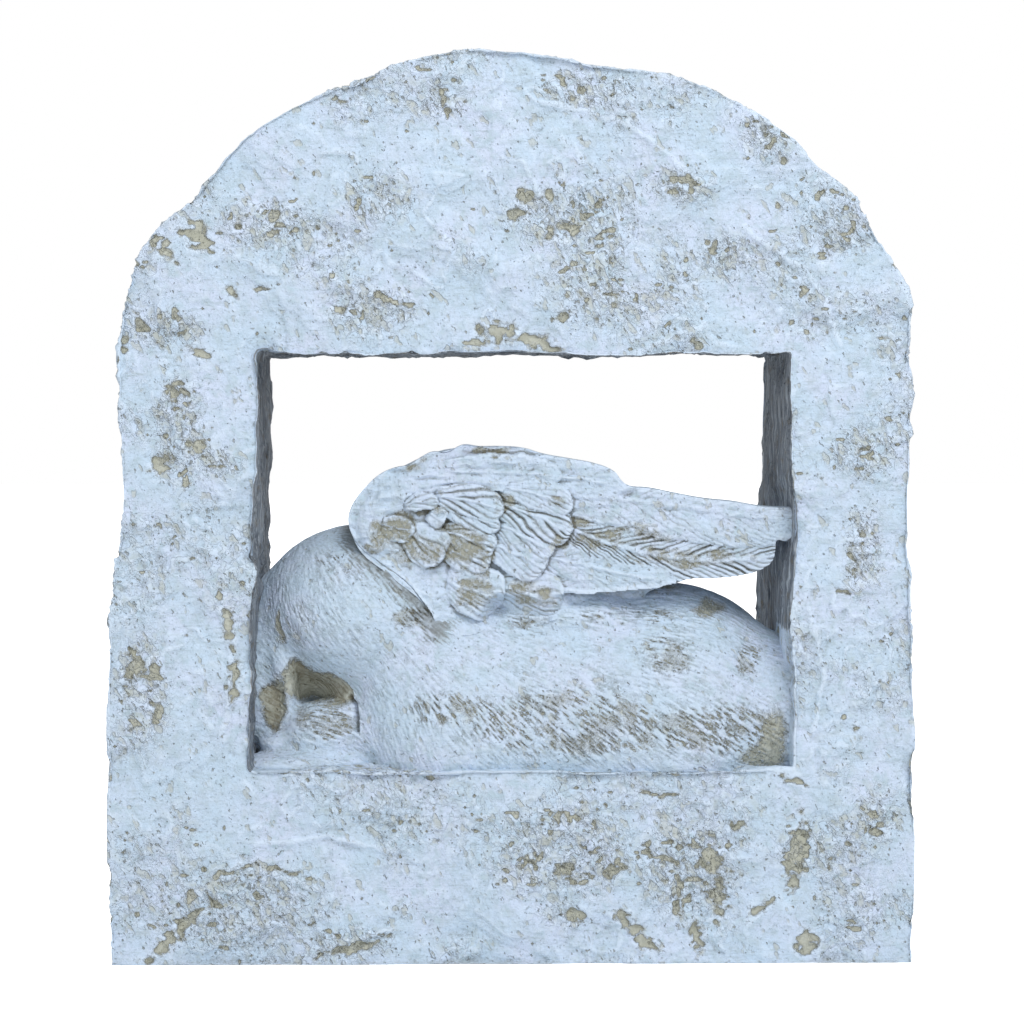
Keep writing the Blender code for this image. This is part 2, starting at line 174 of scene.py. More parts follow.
# Which way the coat lies on the near side, as (along, up, degrees below level, towards the rump)
COAT = (
    (-52.0, 61.0, 14), (-47.0, 62.5, 12), (-43.5, 61.0, 22), (-52.0, 96.0, 66), (-40.0, 106.0, 58),
    (-28.0, 104.0, 50), (-48.0, 80.0, 60), (-36.0, 88.0, 48), (-36.0, 72.0, 52), (-33.0, 62.0, 82),
    (-24.0, 58.0, 72), (-22.0, 84.0, 38), (-12.0, 76.0, 34), (-10.0, 60.0, 52), (8.0, 88.0, 8),
    (10.0, 76.0, 20), (10.0, 60.0, 44), (30.0, 90.0, 5), (32.0, 76.0, 20), (32.0, 60.0, 40),
    (52.0, 88.0, 12), (54.0, 74.0, 24), (54.0, 58.0, 34), (66.0, 82.0, 28), (66.0, 66.0, 34),
)
# Where the coat's grooves show the bare stone, in millimetres: along, up, half width, half height, strength
WORN_COAT = (
    (-26.0, 89.5, 6.5, 3.0, 0.9), (-20.0, 92.0, 5.0, 2.0, 0.8), (16.0, 62.0, 30.0, 10.0, 0.9),
    (40.0, 80.0, 8.0, 6.5, 0.7), (56.0, 60.0, 22.0, 7.5, 1.0), (-16.0, 66.0, 12.0, 5.0, 0.9),
    (-46.0, 102.0, 6.0, 5.0, 0.6), (-55.0, 86.0, 3.0, 9.0, 0.5), (-48.0, 61.5, 8.5, 5.5, 1.0),
    (30.0, 89.0, 22.0, 2.0, 0.6), (62.0, 78.0, 4.0, 5.0, 0.7), (4.0, 88.0, 8.0, 2.5, 0.7),
    (-8.0, 92.0, 8.0, 2.5, 0.8), (22.0, 72.0, 8.0, 4.0, 0.5),
)
# Bare stone on the figure's near side, given the same way
BARE_ON_FIGURE = (
    (-60.2, 86.5, 1.6, 5.0, 0.6), (-61.8, 66.0, 3.6, 7.5, 0.75), (-56.5, 72.5, 4.0, 5.0, 0.8),
    (-50.0, 70.0, 9.0, 4.5, 1.0), (68.5, 57.0, 4.2, 9.0, 0.62), (64.0, 53.5, 6.0, 3.0, 0.50),
    (36.0, 97.0, 10.0, 2.0, 0.5), (52.0, 91.0, 5.0, 2.0, 0.5),
)
# Left of the middle, the bare stone shows only deeper than this
BARE_BEHIND = -0.0155
# The cleft between the paw and the neck, in millimetres: places along and up
CLEFT = ((-42.5, 67.6), (-41.2, 66.0), (-40.6, 63.2), (-40.4, 59.5))
# The head's lower edge and the corner left of the paw, with painted shade under them
UNDER_HEAD = ((-59.5, 78.0), (-55.0, 74.0), (-48.5, 71.5), (-42.0, 67.5))
CORNER = ((-64.0, 73.0), (-63.5, 59.0))
# The soft fold where the head lies on the body
FOLD = ((-19.7, 93.2), (-24.5, 88.0), (-30.0, 83.0), (-36.0, 77.0), (-40.5, 70.0))

# The wing's arm from the shoulder over the wrist, as (along, up, radius); radii are shares of the length
WING_ARM = ((0.392, 0.449, 0.024), (0.368, 0.491, 0.032), (0.327, 0.569, 0.036), (0.270, 0.647, 0.037),
            (0.222, 0.731, 0.040), (0.236, 0.812, 0.039), (0.288, 0.860, 0.043), (0.367, 0.910, 0.046),
            (0.468, 0.922, 0.040), (0.554, 0.904, 0.036), (0.626, 0.880, 0.026), (0.676, 0.856, 0.017))
# The wing's outline in millimetres, as (along, up)
WING_EDGE = (
    (-42.4, 114.0), (-42.0, 117.0), (-40.1, 120.5), (-37.4, 123.6), (-34.3, 126.3), (-30.4, 128.0),
    (-26.6, 128.8), (-23.5, 130.8), (-20.4, 132.2), (-16.9, 131.9), (-12.7, 134.0), (-8.4, 133.6),
    (-2.7, 133.6), (3.5, 133.1), (8.2, 131.7), (15.9, 130.3), (22.0, 129.1), (26.7, 127.2), (29.1, 124.3),
    (31.3, 123.2), (35.9, 122.8), (42.9, 121.4), (50.6, 120.0), (58.3, 119.2), (65.3, 118.0),
    (69.5, 117.7), (78.0, 116.6), (78.0, 109.6), (71.1, 108.9), (69.1, 109.2), (68.7, 106.9),
    (67.9, 103.9), (65.0, 101.6), (60.6, 100.2), (54.5, 99.4), (46.0, 99.0), (42.9, 98.0), (39.0, 97.1),
    (35.9, 95.0), (34.8, 92.7), (28.2, 92.2), (22.0, 92.3), (16.6, 91.6), (13.9, 89.9), (11.4, 88.3),
    (7.4, 87.9), (3.5, 89.0), (-0.3, 89.4), (-2.7, 89.9), (-5.0, 87.3), (-8.8, 84.9), (-12.7, 84.3),
    (-16.5, 85.1), (-19.2, 87.1), (-21.0, 90.6), (-23.5, 94.0), (-26.6, 97.8), (-30.1, 100.7),
    (-34.3, 103.6), (-38.3, 106.4), (-41.2, 110.1),
)
# Part of that outline lies on the dog's back and blends into it
WING_FOOT = WING_EDGE[39:54]
# Along this part the wing's edge has a painted shadow on the neck
SHADY_EDGE = WING_EDGE[53:] + WING_EDGE[:1]
FAR_WING_DROP = 0.0013
# Feathers in millimetres, lowest first: root along and up, tip along and up, width, sideways bow, lift,
# and how deep the barbs are cut
FEATHERS = (
    (4.5, 97.2, 39.5, 93.6, 9.4, 0.0, 0.0, 0.50), (7.0, 105.3, 42.8, 97.9, 9.0, 0.0, 0.7, 0.50),
    (-4.0, 97.6, 13.4, 92.8, 10.4, 0.0, 0.3, 0.70), (-17.0, 98.6, -2.2, 93.6, 10.6, 0.0, 0.5, 0.70),
    (-5.8, 108.5, 8.8, 101.6, 8.4, 0.4, 0.9, 0.70), (-17.6, 107.6, -5.6, 102.6, 7.6, 0.0, 0.6, 0.90),
    (-27.5, 112.0, -17.2, 104.8, 8.6, 0.0, 0.7, 0.90), (-34.5, 113.2, -25.4, 111.6, 5.0, 0.0, 0.7, 1.00),
    (-18.0, 111.4, -4.2, 107.6, 6.8, 0.3, 1.1, 0.90), (-4.0, 113.6, 10.6, 105.8, 7.6, 0.4, 1.4, 0.80),
    (12.0, 113.6, 70.6, 105.4, 12.6, -4.4, 1.2, 1.50), (-21.4, 116.4, -17.2, 114.2, 4.4, 0.0, 1.6, 0.00),
    (-18.0, 117.4, -3.0, 112.9, 5.4, 0.5, 1.6, 1.10), (-20.5, 120.6, -1.8, 117.0, 6.6, 0.8, 2.2, 1.20),
    (-28.5, 118.4, -19.0, 119.4, 3.6, 0.2, 1.3, 0.90), (-4.0, 119.2, 15.4, 110.8, 9.0, 0.8, 2.0, 1.30),
    (-3.5, 123.6, 16.0, 117.8, 6.6, 0.6, 2.3, 0.70), (11.0, 121.4, 74.5, 113.4, 13.4, 0.8, 1.9, 0.45),
    (-4.0, 127.6, 31.6, 122.6, 8.6, 0.8, 1.3, 0.25), (-20.0, 127.0, 13.0, 126.0, 7.6, 0.5, 1.5, 0.20),
)
# Bare stone on the near wing, in millimetres: along, up, half width, half height and strength
BARE_ON_WING = (
    (-30.0, 112.0, 7.0, 4.5, 1.0), (-24.0, 107.0, 8.0, 5.5, 1.0), (-12.0, 106.6, 8.5, 5.0, 1.0),
    (-16.0, 112.0, 6.0, 2.6, 0.8), (-10.0, 95.5, 6.5, 5.0, 0.9), (5.0, 95.0, 7.0, 4.2, 0.9),
    (12.8, 108.3, 2.6, 1.8, 1.0), (28.0, 110.5, 14.0, 3.4, 0.9), (20.0, 115.0, 6.0, 2.0, 0.7),
    (48.0, 104.5, 18.0, 3.4, 0.85), (-5.0, 132.4, 5.5, 1.4, 0.9), (-24.5, 129.5, 2.6, 2.8, 0.9),
    (-2.5, 118.6, 3.0, 2.6, 0.9), (10.0, 118.5, 4.5, 2.0, 0.6), (-8.0, 103.0, 3.0, 3.5, 0.8),
    (-34.0, 107.5, 5.5, 1.6, 0.6), (-20.0, 116.8, 5.0, 1.6, 0.8),
)

# How far the slab's plaster stands out or is cut in, in metres
BROAD_RELIEF = 0.0042
SMALL_RELIEF = 0.0013
KNIFE_RIDGE = 0.00055
FINE_RELIEF = 0.00045
WORM_RIDGE = 0.00036
CHIP_DEPTH = 0.00065
PIT_DEPTH = 0.00046
KNIFE_HALF_WIDTH = 0.0013
# The dog's coat: how many hairs are cut in, and sizes in metres
HAIRS = 7600
HAIR_SEED = 11
SHORTEST_HAIR = 0.0020
LONGEST_HAIR = 0.0052
HAIR_STEP = 0.0004
HAIR_HALF_WIDTH = 0.00036
HAIR_DEPTH = 0.00060
CLEFT_DEPTH = 0.0022
CLEFT_HALF_WIDTH = 0.0010
FOLD_DEPTH = 0.0006
FOLD_HALF_WIDTH = 0.0035
COAT_PLASTER = 0.00014
ROUGH_DOG_GRAIN = 0.0014
# How far the painted shade spreads below the wing, below the head and from the corner by the paw
WING_SHADE = 0.0080
HEAD_SHADE = 0.0050
CORNER_SHADE = 0.0045
# The feathers, in metres
FEATHER_CROWN = 0.0007
TIP_RISE = 0.0014
QUILL_RIDGE = 0.0004
BARB_DEPTH = 0.00060
FLIGHT_FEATHER = 0.03
FLIGHT_BARBS = 0.0030
COVERT_BARBS = 0.0012
# The barbs wander, fade and are cut by chance, each feather with seeds of its own from these on
DRIFT_GRAIN = 0.0040
DRIFT_SEED = 301
FADE_GRAIN = 0.0025
FADE_SEED = 331
CUT_SEED = 17
# The wing's arm, and its foot on the dog's back
ARM_PROUD = 0.0008
ARM_SHARE = 0.8
OVER_SKIN = 0.0004
DRAPE_STEPS = 14
LONGEST_STEP = 0.010
FOOT_BLEND = 0.0062
FOOT_RISE = 0.0012
FOOT_SINK = 0.0003
ARM_FLAKES = 0.0012
ARM_STREAKS = 0.0017

# How creases are found, as (rounds of blurring, depth of a full crease in metres)
FRAME_CREASE = (6, 0.0003)
COAT_CREASE = (10, 0.0003)
WING_CREASE = (12, 0.0004)

# Random patterns, as (size of a feature in metres, seed, layers)
BROAD_STEPS = (0.018, 17, 3)
SMALL_STEPS = (0.006, 19, 2)
KNIFE_CREASES = (0.012, 47, 2)
KNIFE_PLACES = (0.022, 53, 1)
LIP_LUMPS = (0.006, 37, 2)
CHIP_TEARS = (0.0017, 61, 2)
SIDE_CHIPS = (0.0060, 83, 2)
SIDE_TEARS = (0.0026, 85, 2)
PITTED_PLACES = (0.014, 97, 2)
PITS = (0.0021, 101, 2)
FINE_PLASTER = (0.0016, 113, 2)
WORM_LINES = (0.0028, 127, 2)
HAIR_STRENGTH = (0.005, 203, 2)
COAT_LUMPS = (0.0022, 211, 2)
RUBBED_PLACES = (0.003, 223, 2)
HAZY_PLACES = (0.007, 229, 2)
WING_LUMPS = (0.0020, 409, 2)
WING_FLAKES = (0.0050, 421, 2)
WING_WEAR = (0.0030, 431, 2)
WING_STREAKS = (0.0017, 443, 2)
# How a pattern's outlines are pushed aside, as (how far and how broadly in metres, seed)
RAGGED_CHIPS = (0.0018, 0.0032, 5)
RAGGED_ZONES = (0.002, 0.004, 9)
BENT_PLASTER = (0.0040, 0.009, 31)
RAGGED_KNIFE = (0.0010, 0.004, 71)
RAGGED_CLEFT = (0.0005, 0.003, 227)
RAGGED_FEATHERS = (0.00050, 0.0028, 401)
BENT_FLAKES = (0.0018, 0.006, 419)

# The finish's colours, as red, green and blue from 0 to 255
COLOURS = {
    "white": (192, 213, 233),
    "bright white": (203, 216, 239),
    "dull white": (180, 201, 216),
    "grey white": (168, 188, 203),
    "scratch": (160, 178, 188),
    "bare stone": (170, 172, 158),
    "light stone": (190, 193, 183),
    "deep stone": (150, 152, 140),
    "deep pit": (110, 112, 100),
    "pit": (148, 147, 132),
    "haze": (182, 190, 186),
    "worm": (160, 169, 168),
    "khaki": (182, 179, 152),
    "ridge": (214, 230, 248),
    "curl": (215, 230, 246),
    # Grey in hair and barb grooves: partly the grooves' colour, partly painted groove shade
    "groove": (120, 127, 126),
    # Pale band round the chips and spots: painted highlight on their raised rims
    "rim": (220, 234, 250),
    # Dark band just inside the chips: painted shadow under their edge
    "chip edge shadow": (118, 119, 110),
    # These two colours darken creases and the overhang shadows: partly soil, partly painted shade
    "soil_and_shade_paint": (112, 114, 110),
    "bare soil and shade": (106, 99, 78),
    "window side": (112, 120, 130),
    "light streak": (190, 200, 210),
    "brown streak": (122, 116, 104),
}
SHEEN = 0.3
PAINT_ROUGHNESS = 0.72
BARE_ROUGHER = 0.18
# The finish's noise, as (size of a feature in metres, detail, roughness)
GRAINS = {
    "fine": (0.0008, 3.0, 0.6),
    "broad": (0.014, 3.0, 0.5),
    "middle": (0.0035, 3.0, 0.6),
    "flecks": (0.0010, 2.0, 0.5),
    "spots": (0.0027, 2.0, 0.5),
    "curls": (0.0024, 3.0, 0.55),
    "scratches": (0.0010, 3.0, 0.6),
    "worms": (0.0040, 2.0, 0.5),
    "streaks": (0.0011, 3.0, 0.6),
}

# The light, the floor and the camera
SKY = 0.66
WHITE = (1.0, 1.0, 1.0, 1.0)
PALE = (0.9, 0.9, 0.9, 1.0)
SUBJECT = (0.0, 0.0, 0.11)
# Each light as (place, size in metres, power in watts)
KEY_LIGHT = ((0.28, -0.72, 0.92), 0.40, 5.6)
FRONT_LIGHT = ((-0.35, -1.30, 0.45), 0.60, 1.6)
CAMERA_PLACE = (-0.0115, -0.696, 0.1444)
CAMERA_TILT = 90.0 - 2.36
CAMERA_TURN = -0.99
LENS = 91.44
FILM_WIDTH = 36.0


def pick(thing):
    """Select one object alone and make it the active one."""
    bpy.ops.object.select_all(action="DESELECT")
    thing.select_set(True)
    bpy.context.view_layer.objects.active = thing


def apply_modifiers(thing):
    """Apply every modifier of an object in turn."""
    pick(thing)
    for each in list(thing.modifiers):
        bpy.ops.object.modifier_apply(modifier=each.name)
    return thing


def link(name, data):
    """Put new object data in the scene."""
    thing = bpy.data.objects.new(name, data)
    bpy.context.collection.objects.link(thing)
    return thing


def to_mesh(thing):
    """Turn a curve object into a mesh object."""
    pick(thing)
    bpy.ops.object.convert(target="MESH")
    return bpy.context.view_layer.objects.active


def skin_over(thing, grain):
    """Make one even skin round everything in a mesh."""
    skin = thing.modifiers.new("skin", "REMESH")
    skin.mode = "VOXEL"
    skin.voxel_size = grain
    return apply_modifiers(thing)


def gather(name, things):
    """Join several meshes into one object."""
    pick(things[0])
    for thing in things:
        thing.select_set(True)
    bpy.ops.object.join()
    things[0].name = name
    return things[0]


def read_points(mesh):
    """The vertices as rows of x, y and z."""
    flat = np.empty(len(mesh.vertices) * 3)
    mesh.vertices.foreach_get("co", flat)
    return flat.reshape(-1, 3)


def write_points(mesh, points):
    """Put moved vertices back in the mesh."""
    mesh.vertices.foreach_set("co", points.ravel())
    mesh.update()


def read_normals(mesh):
    """The vertex normals as rows."""
    flat = np.empty(len(mesh.vertices) * 3)
    mesh.vertex_normals.foreach_get("vector", flat)
    return flat.reshape(-1, 3)


def store(mesh, **masks):
    """Keep each mask as a named attribute, with one number from 0 to 1 for each vertex."""
    for name, values in masks.items():
        kept = mesh.attributes.new(name, "FLOAT", "POINT")
        filled = np.zeros(len(mesh.vertices)) + values
        kept.data.foreach_set("value", np.clip(filled, 0.0, 1.0).astype(np.float32))


def smooth_step(low, high, values):
    """0 below low, 1 above high, and a soft rise between them; high may be the smaller one."""
    part = np.clip((values - low) / (high - low), 0.0, 1.0)
    return part * part * (3.0 - 2.0 * part)


def lattice(cells, seed):
    """A random number from 0 to 1 for each cell of a lattice."""
    mixed = cells[:, 0] * 73856093 ^ cells[:, 1] * 19349663 ^ cells[:, 2] * 83492791 ^ seed * 26544357
    mixed = (mixed ^ (mixed >> 13)) * 1274126177 & 0x7FFFFFFF
    mixed = (mixed ^ (mixed >> 15)) * 668265263 & 0x7FFFFFFF
    return (mixed >> 8 & 0xFFFF) / 65535.0


def cloud(points, grain, seed, layers=1):
    """Smooth random values round 0.5 at the given points, with finer layers on top of the first."""
    total = np.zeros(len(points))
    weight = 0.0
    for layer in range(layers):
        cell = points / (grain / 2 ** layer)
        base = np.floor(cell).astype(np.int64)
        part = cell - base
        part = part * part * (3.0 - 2.0 * part)
        value = np.zeros(len(points))
        for corner in itertools.product((0, 1), repeat=3):
            side = np.where(np.array(corner) == 1, part, 1.0 - part)
            value += side.prod(axis=1) * lattice(base + np.array(corner), seed + layer * 101)
        total += value / 2 ** layer
        weight += 1.0 / 2 ** layer
    return total / weight


def warped(points, reach, grain, seed):
    """The points, each pushed a little aside, so that a pattern read there has ragged outlines."""
    push = [cloud(points, grain, seed + axis * 7, 2) - 0.5 for axis in range(3)]
    return points + np.column_stack(push) * reach * 2.0


def patches(points, table):
    """How strongly each point lies in any of the turned ellipses of a table, from 0 to 1."""
    near = warped(points, *RAGGED_CHIPS)
    broken = (cloud(points * (1.0, 1.0, 1.3), *CHIP_TEARS) - 0.5) * 3.0
    strongest = np.zeros(len(points))
    for row in table:
        along, up, half_width, half_height = (value * MM for value in row[:4])
        half_width, half_height = half_width * CHIP_SHARE, half_height * CHIP_SHARE
        turn = math.radians(row[4])
        side = near[:, 0] - along
        rise = near[:, 2] - up
        across = (side * math.cos(turn) + rise * math.sin(turn)) / half_width
        above = (rise * math.cos(turn) - side * math.sin(turn)) / half_height
        np.maximum(strongest, smooth_step(1.55, 0.2, np.hypot(across, above) + broken), out=strongest)
    return strongest


def zones(points, table):
    """Like patches, for level ellipses with soft edges that each have a strength of their own."""
    near = warped(points, *RAGGED_ZONES)
    strongest = np.zeros(len(points))
    for row in table:
        along, up, half_width, half_height = (value * MM for value in row[:4])
        strength = row[4] if len(row) > 4 else 1.0
        far = np.hypot((near[:, 0] - along) / half_width, (near[:, 2] - up) / half_height)
        np.maximum(strongest, smooth_step(1.3, 0.5, far) * strength, out=strongest)
    return strongest


def path_distance(points, path):
    """The distance in the front plane from each point to a line of places given in millimetres."""
    nearest = np.full(len(points), 1.0)
    flat = points[:, [0, 2]]
    for first, second in zip(path, path[1:]):
        start = np.array(first) * MM
        ahead = np.array(second) * MM - start
        share = np.clip((flat - start) @ ahead / (ahead @ ahead), 0.0, 1.0)
        np.minimum(nearest, np.linalg.norm(flat - start - share[:, None] * ahead, axis=1), out=nearest)
    return nearest


def edge_pairs(mesh):
    """The two vertex numbers of each edge."""
    pairs = np.empty(len(mesh.edges) * 2, dtype=np.int32)
    mesh.edges.foreach_get("vertices", pairs)
    return pairs.reshape(-1, 2)


def hollows(mesh, rounds, depth):
    """Where each vertex lies: 0 on a ridge, 0.5 on open ground, 1 in a crease of the given depth."""
    points = read_points(mesh)
    normals = read_normals(mesh)
    pairs = edge_pairs(mesh)
    count = np.bincount(pairs.ravel(), minlength=len(points))
    count = np.maximum(count, 1)[:, None]
    blurred = points.copy()
    for _ in range(rounds):
        total = np.empty_like(blurred)
        for axis in range(3):
            first = np.bincount(pairs[:, 0], weights=blurred[pairs[:, 1], axis], minlength=len(points))
            second = np.bincount(pairs[:, 1], weights=blurred[pairs[:, 0], axis], minlength=len(points))
            total[:, axis] = first + second
        blurred = total / count
    sunk = np.einsum("ij,ij->i", blurred - points, normals)
    return 0.5 + 0.5 * np.clip(sunk / depth, -1.0, 1.0)


def thin_region(thing, chosen, ratio):
    """Thin out the chosen vertices of a mesh, as by hand in edit mode."""
    mesh = thing.data
    pick(thing)
    pairs = edge_pairs(mesh)
    corners = np.empty(len(mesh.loops), dtype=np.int32)
    mesh.loops.foreach_get("vertex_index", corners)
    starts = np.empty(len(mesh.polygons), dtype=np.int32)
    mesh.polygons.foreach_get("loop_start", starts)
    mesh.vertices.foreach_set("select", chosen)
    mesh.edges.foreach_set("select", chosen[pairs].all(axis=1))
    mesh.polygons.foreach_set("select", np.logical_and.reduceat(chosen[corners], starts))
    bpy.ops.object.mode_set(mode="EDIT")
    bpy.ops.mesh.select_mode(type="VERT")
    bpy.ops.mesh.decimate(ratio=ratio)
    bpy.ops.object.mode_set(mode="OBJECT")


def triangles(mesh):
    """How many triangles a mesh has."""
    mesh.calc_loop_triangles()
    return len(mesh.loop_triangles)


def lighten(thing):
    """Thin out a finished mesh, least where its relief is sharp, until it is light enough to hand on."""
    count = triangles(thing.data)
    if count > MOST_TRIANGLES:
        thin = thing.modifiers.new("thin", "DECIMATE")
        thin.ratio = MOST_TRIANGLES / count
        apply_modifiers(thing)


def slab_outline():
    """The slab's outline, round from its right foot over the arch to its left foot."""
    spring = HEIGHT - ARCH_RISE
    half = WIDTH / 2
    points = [(half * reach, spring * up) for up, reach in RIGHT_REACH]
    last = len(ARCH_REACH) - 1
    for step, reach in enumerate(ARCH_REACH):
        angle = math.pi * step / last
        points.append((half * reach * math.cos(angle), spring + ARCH_RISE * reach * math.sin(angle)))
    points += [(half * reach * -1, spring * up) for up, reach in LEFT_REACH]
    return points


def window_outline():
    """The window's outline."""
    return [(WINDOW_LEFT, SILL_HEIGHT), (WINDOW_LEFT, WINDOW_TOP), (WINDOW_RIGHT, WINDOW_TOP),
            (WINDOW_RIGHT, SILL_HEIGHT)]


def plate(name, outlines, thickness, middle):
    """An upright plate with the given outlines; the first is its edge and the rest are holes."""
    curve = bpy.data.curves.new(name, "CURVE")
    curve.dimensions = "2D"
    curve.fill_mode = "BOTH"
    curve.resolution_u = 4
    curve.extrude = thickness / 2
    for outline, rounded in outlines:
        spline = curve.splines.new("BEZIER")
        spline.bezier_points.add(len(outline) - 1)
        spline.use_cyclic_u = True
        for knot, (along, up) in zip(spline.bezier_points, outline):
            knot.co = (along, up, 0.0)
            kind = "AUTO" if rounded and up > 0.0 else "VECTOR"
            knot.handle_left_type = kind
            knot.handle_right_type = kind
    flat = to_mesh(link(name, curve))
    points = read_points(flat.data)
    write_points(flat.data, np.column_stack((points[:, 0], middle - points[:, 2], points[:, 1])))
    shell = bmesh.new()
    shell.from_mesh(flat.data)
    bmesh.ops.remove_doubles(shell, verts=shell.verts, dist=0.00002)
    bmesh.ops.recalc_face_normals(shell, faces=shell.faces)
    shell.to_mesh(flat.data)
    shell.free()
    return flat


def rounded_edges(thing, width, steps):
    """Round every sharp edge of a plate."""
    soft = thing.modifiers.new("soft edges", "BEVEL")
    soft.width = width
    soft.segments = steps
    soft.limit_method = "ANGLE"
    soft.angle_limit = math.radians(45)
    return apply_modifiers(thing)


def soften_slab(slab):
    """Round the slab's outer edges well, and the window's only a little."""
    left, right = WINDOW_LEFT - MM, WINDOW_RIGHT + MM
    low, top = SILL_HEIGHT - MM, WINDOW_TOP + MM
    shell = bmesh.new()
    shell.from_mesh(slab.data)
    weight = shell.edges.layers.float.new("bevel_weight_edge")
    for line in shell.edges:
        if not line.is_manifold or line.calc_face_angle() < math.radians(45):
            continue
        inside = all(left < end.co.x < right and low < end.co.z < top for end in line.verts)
        line[weight] = WINDOW_EDGE_ROUND / EDGE_ROUND if inside else 1.0
    shell.to_mesh(slab.data)
    shell.free()
    soft = slab.modifiers.new("soft edges", "BEVEL")
    soft.width = EDGE_ROUND
    soft.segments = 3
    soft.limit_method = "WEIGHT"
    apply_modifiers(slab)


def hewn(point):
    """How deep the chisel has gone at a point: broad dips with smaller ones in them."""
    broad = noise.noise(Vector(point) / HEWN_GRAIN)
    fine = noise.noise(Vector(point) / (HEWN_GRAIN * 0.4))
    return HEWN_DEPTH * min(max(0.5 + 0.6 * broad + 0.2 * fine, 0.0), 1.0)


def lean_window(points):
    """Let the window's sides lean as the casting's do."""
    above = points[:, 2] - SILL_HEIGHT
    rise = np.clip(above / WINDOW_HEIGHT, 0.0, 1.0)
    back = np.clip((points[:, 1] + THICKNESS / 2) / THICKNESS, 0.0, 1.0)
    fade = smooth_step(0.012, 0.0, np.maximum(-above, above - WINDOW_HEIGHT))
    for wall, corners in ((WINDOW_LEFT, LEFT_LEAN), (WINDOW_RIGHT, RIGHT_LEAN)):
        (low_front, low_back), (top_front, top_back) = corners
        at_front = low_front * (1.0 - rise) + top_front * rise
        at_back = low_back * (1.0 - rise) + top_back * rise
        lean = at_front * (1.0 - back) + at_back * back
        near = np.exp(-((points[:, 0] - wall) / LEAN_REACH) ** 2)
        points[:, 0] += lean * near * fade


def hang_lip(points):
    """Let the plaster over the window hang a little lower at the front."""
    near = smooth_step(0.008, 0.0, np.abs(points[:, 2] - WINDOW_TOP))
    near *= smooth_step(0.012, 0.0, points[:, 1] + THICKNESS / 2)
    half = WINDOW_WIDTH / 2
    near *= smooth_step(half + 0.002, half - 0.006, np.abs(points[:, 0] - WINDOW_SHIFT))
    points[:, 2] -= LIP_DROP * near * (0.6 + 0.8 * cloud(points, *LIP_LUMPS))


def cut_foot(thing):
    """Cut the slab off flat at the ground."""
    pick(thing)
    bpy.ops.object.mode_set(mode="EDIT")
    bpy.ops.mesh.select_all(action="SELECT")
    bpy.ops.mesh.bisect(plane_co=(0.0, 0.0, 0.0), plane_no=(0.0, 0.0, 1.0), use_fill=True, clear_inner=True)
    bpy.ops.object.mode_set(mode="OBJECT")


def keep_in_box(points, low, high):
    """Hold every point inside the part's own box."""
    return np.clip(points, np.array(low), np.array(high))


def jamb_share(points, normals):
    """How much each point belongs to the dark inner sides and top of the window."""
    aside = np.minimum(np.abs(points[:, 0] - WINDOW_LEFT), np.abs(points[:, 0] - WINDOW_RIGHT))
    side = (aside < JAMB_REACH) & (points[:, 2] > SILL_HEIGHT - MM) & (points[:, 2] < WINDOW_TOP + MM)
    side &= np.sign(points[:, 0] - WINDOW_SHIFT) * normals[:, 0] < -0.3
    roof = (np.abs(points[:, 2] - WINDOW_TOP) < JAMB_REACH) & (normals[:, 2] < -0.3)
    roof &= (points[:, 0] > WINDOW_LEFT - 3 * MM) & (points[:, 0] < WINDOW_RIGHT + 3 * MM)
    turned = smooth_step(0.60, 0.30, np.abs(normals[:, 1]))
    joint = smooth_step(0.090, 0.083, points[:, 2]) * (points[:, 0] > 0.0) * (points[:, 1] < -0.004)
    return (side | roof) * turned * (1.0 - joint)


def terraced(values, steps):
    """Smooth values made into flat steps with short slopes between."""
    level = values * steps
    return (np.floor(level) + smooth_step(0.32, 0.68, level - np.floor(level))) / steps


def frame_relief(points, normals):
    """The worked plaster: height to add in metres, bareness, and how much the pits crowd."""
    front = smooth_step(0.35, 0.75, -normals[:, 1])
    bent = warped(points, *BENT_PLASTER)
    broad = terraced(cloud(bent * (0.8, 1.0, 1.25), *BROAD_STEPS), 9.0) - 0.5
    small = terraced(cloud(bent * (0.8, 1.0, 1.3), *SMALL_STEPS), 5.0) - 0.5
    creases = np.abs(cloud(bent, *KNIFE_CREASES) - 0.5)
    knife = smooth_step(0.024, 0.0, creases) * smooth_step(0.45, 0.60, cloud(points, *KNIFE_PLACES))
    placed = np.zeros(len(points))
    ragged = warped(points, *RAGGED_KNIFE)
    for line in KNIFE_LINES:
        np.maximum(placed, smooth_step(KNIFE_HALF_WIDTH, 0.0002, path_distance(ragged, line)), out=placed)
    chips = patches(points, CHIPS) * front
    torn = (cloud(points, *SIDE_TEARS) - 0.5) * 0.45
    elsewhere = smooth_step(0.72, 0.84, cloud(bent, *SIDE_CHIPS) + torn) * (1.0 - front)
    chips = np.maximum(chips, elsewhere)
    crowd = zones(points, PITTED)
    calm = zones(points, SMOOTH)
    anywhere = smooth_step(0.46, 0.70, cloud(points, *PITTED_PLACES))
    crowd = np.where(front > 0.5, np.maximum(crowd, 0.55 * anywhere) * (1.0 - 0.9 * calm), 0.8 * anywhere)
    speck = cloud(bent * (0.85, 1.0, 1.3), *PITS)
    pits = smooth_step(0.0, 0.06, speck - (0.86 - 0.20 * crowd))
    fine = cloud(points, *FINE_PLASTER) - 0.5
    ragged_chips = smooth_step(0.40, 0.60, chips + 0.5 * fine)
    rough = 0.35 + 0.65 * np.maximum(anywhere, crowd)
    worms = np.abs(cloud(bent * (1.0, 1.0, 1.2), *WORM_LINES) - 0.5)
    ridges = smooth_step(0.07, 0.0, worms) * np.maximum(anywhere, crowd)
    height = broad * BROAD_RELIEF + small * SMALL_RELIEF * rough + (knife + placed) * KNIFE_RIDGE
    height += fine * FINE_RELIEF * rough + ridges * WORM_RIDGE
    height -= ragged_chips * CHIP_DEPTH + pits * PIT_DEPTH
    return height, np.maximum(chips, pits * 0.9), crowd


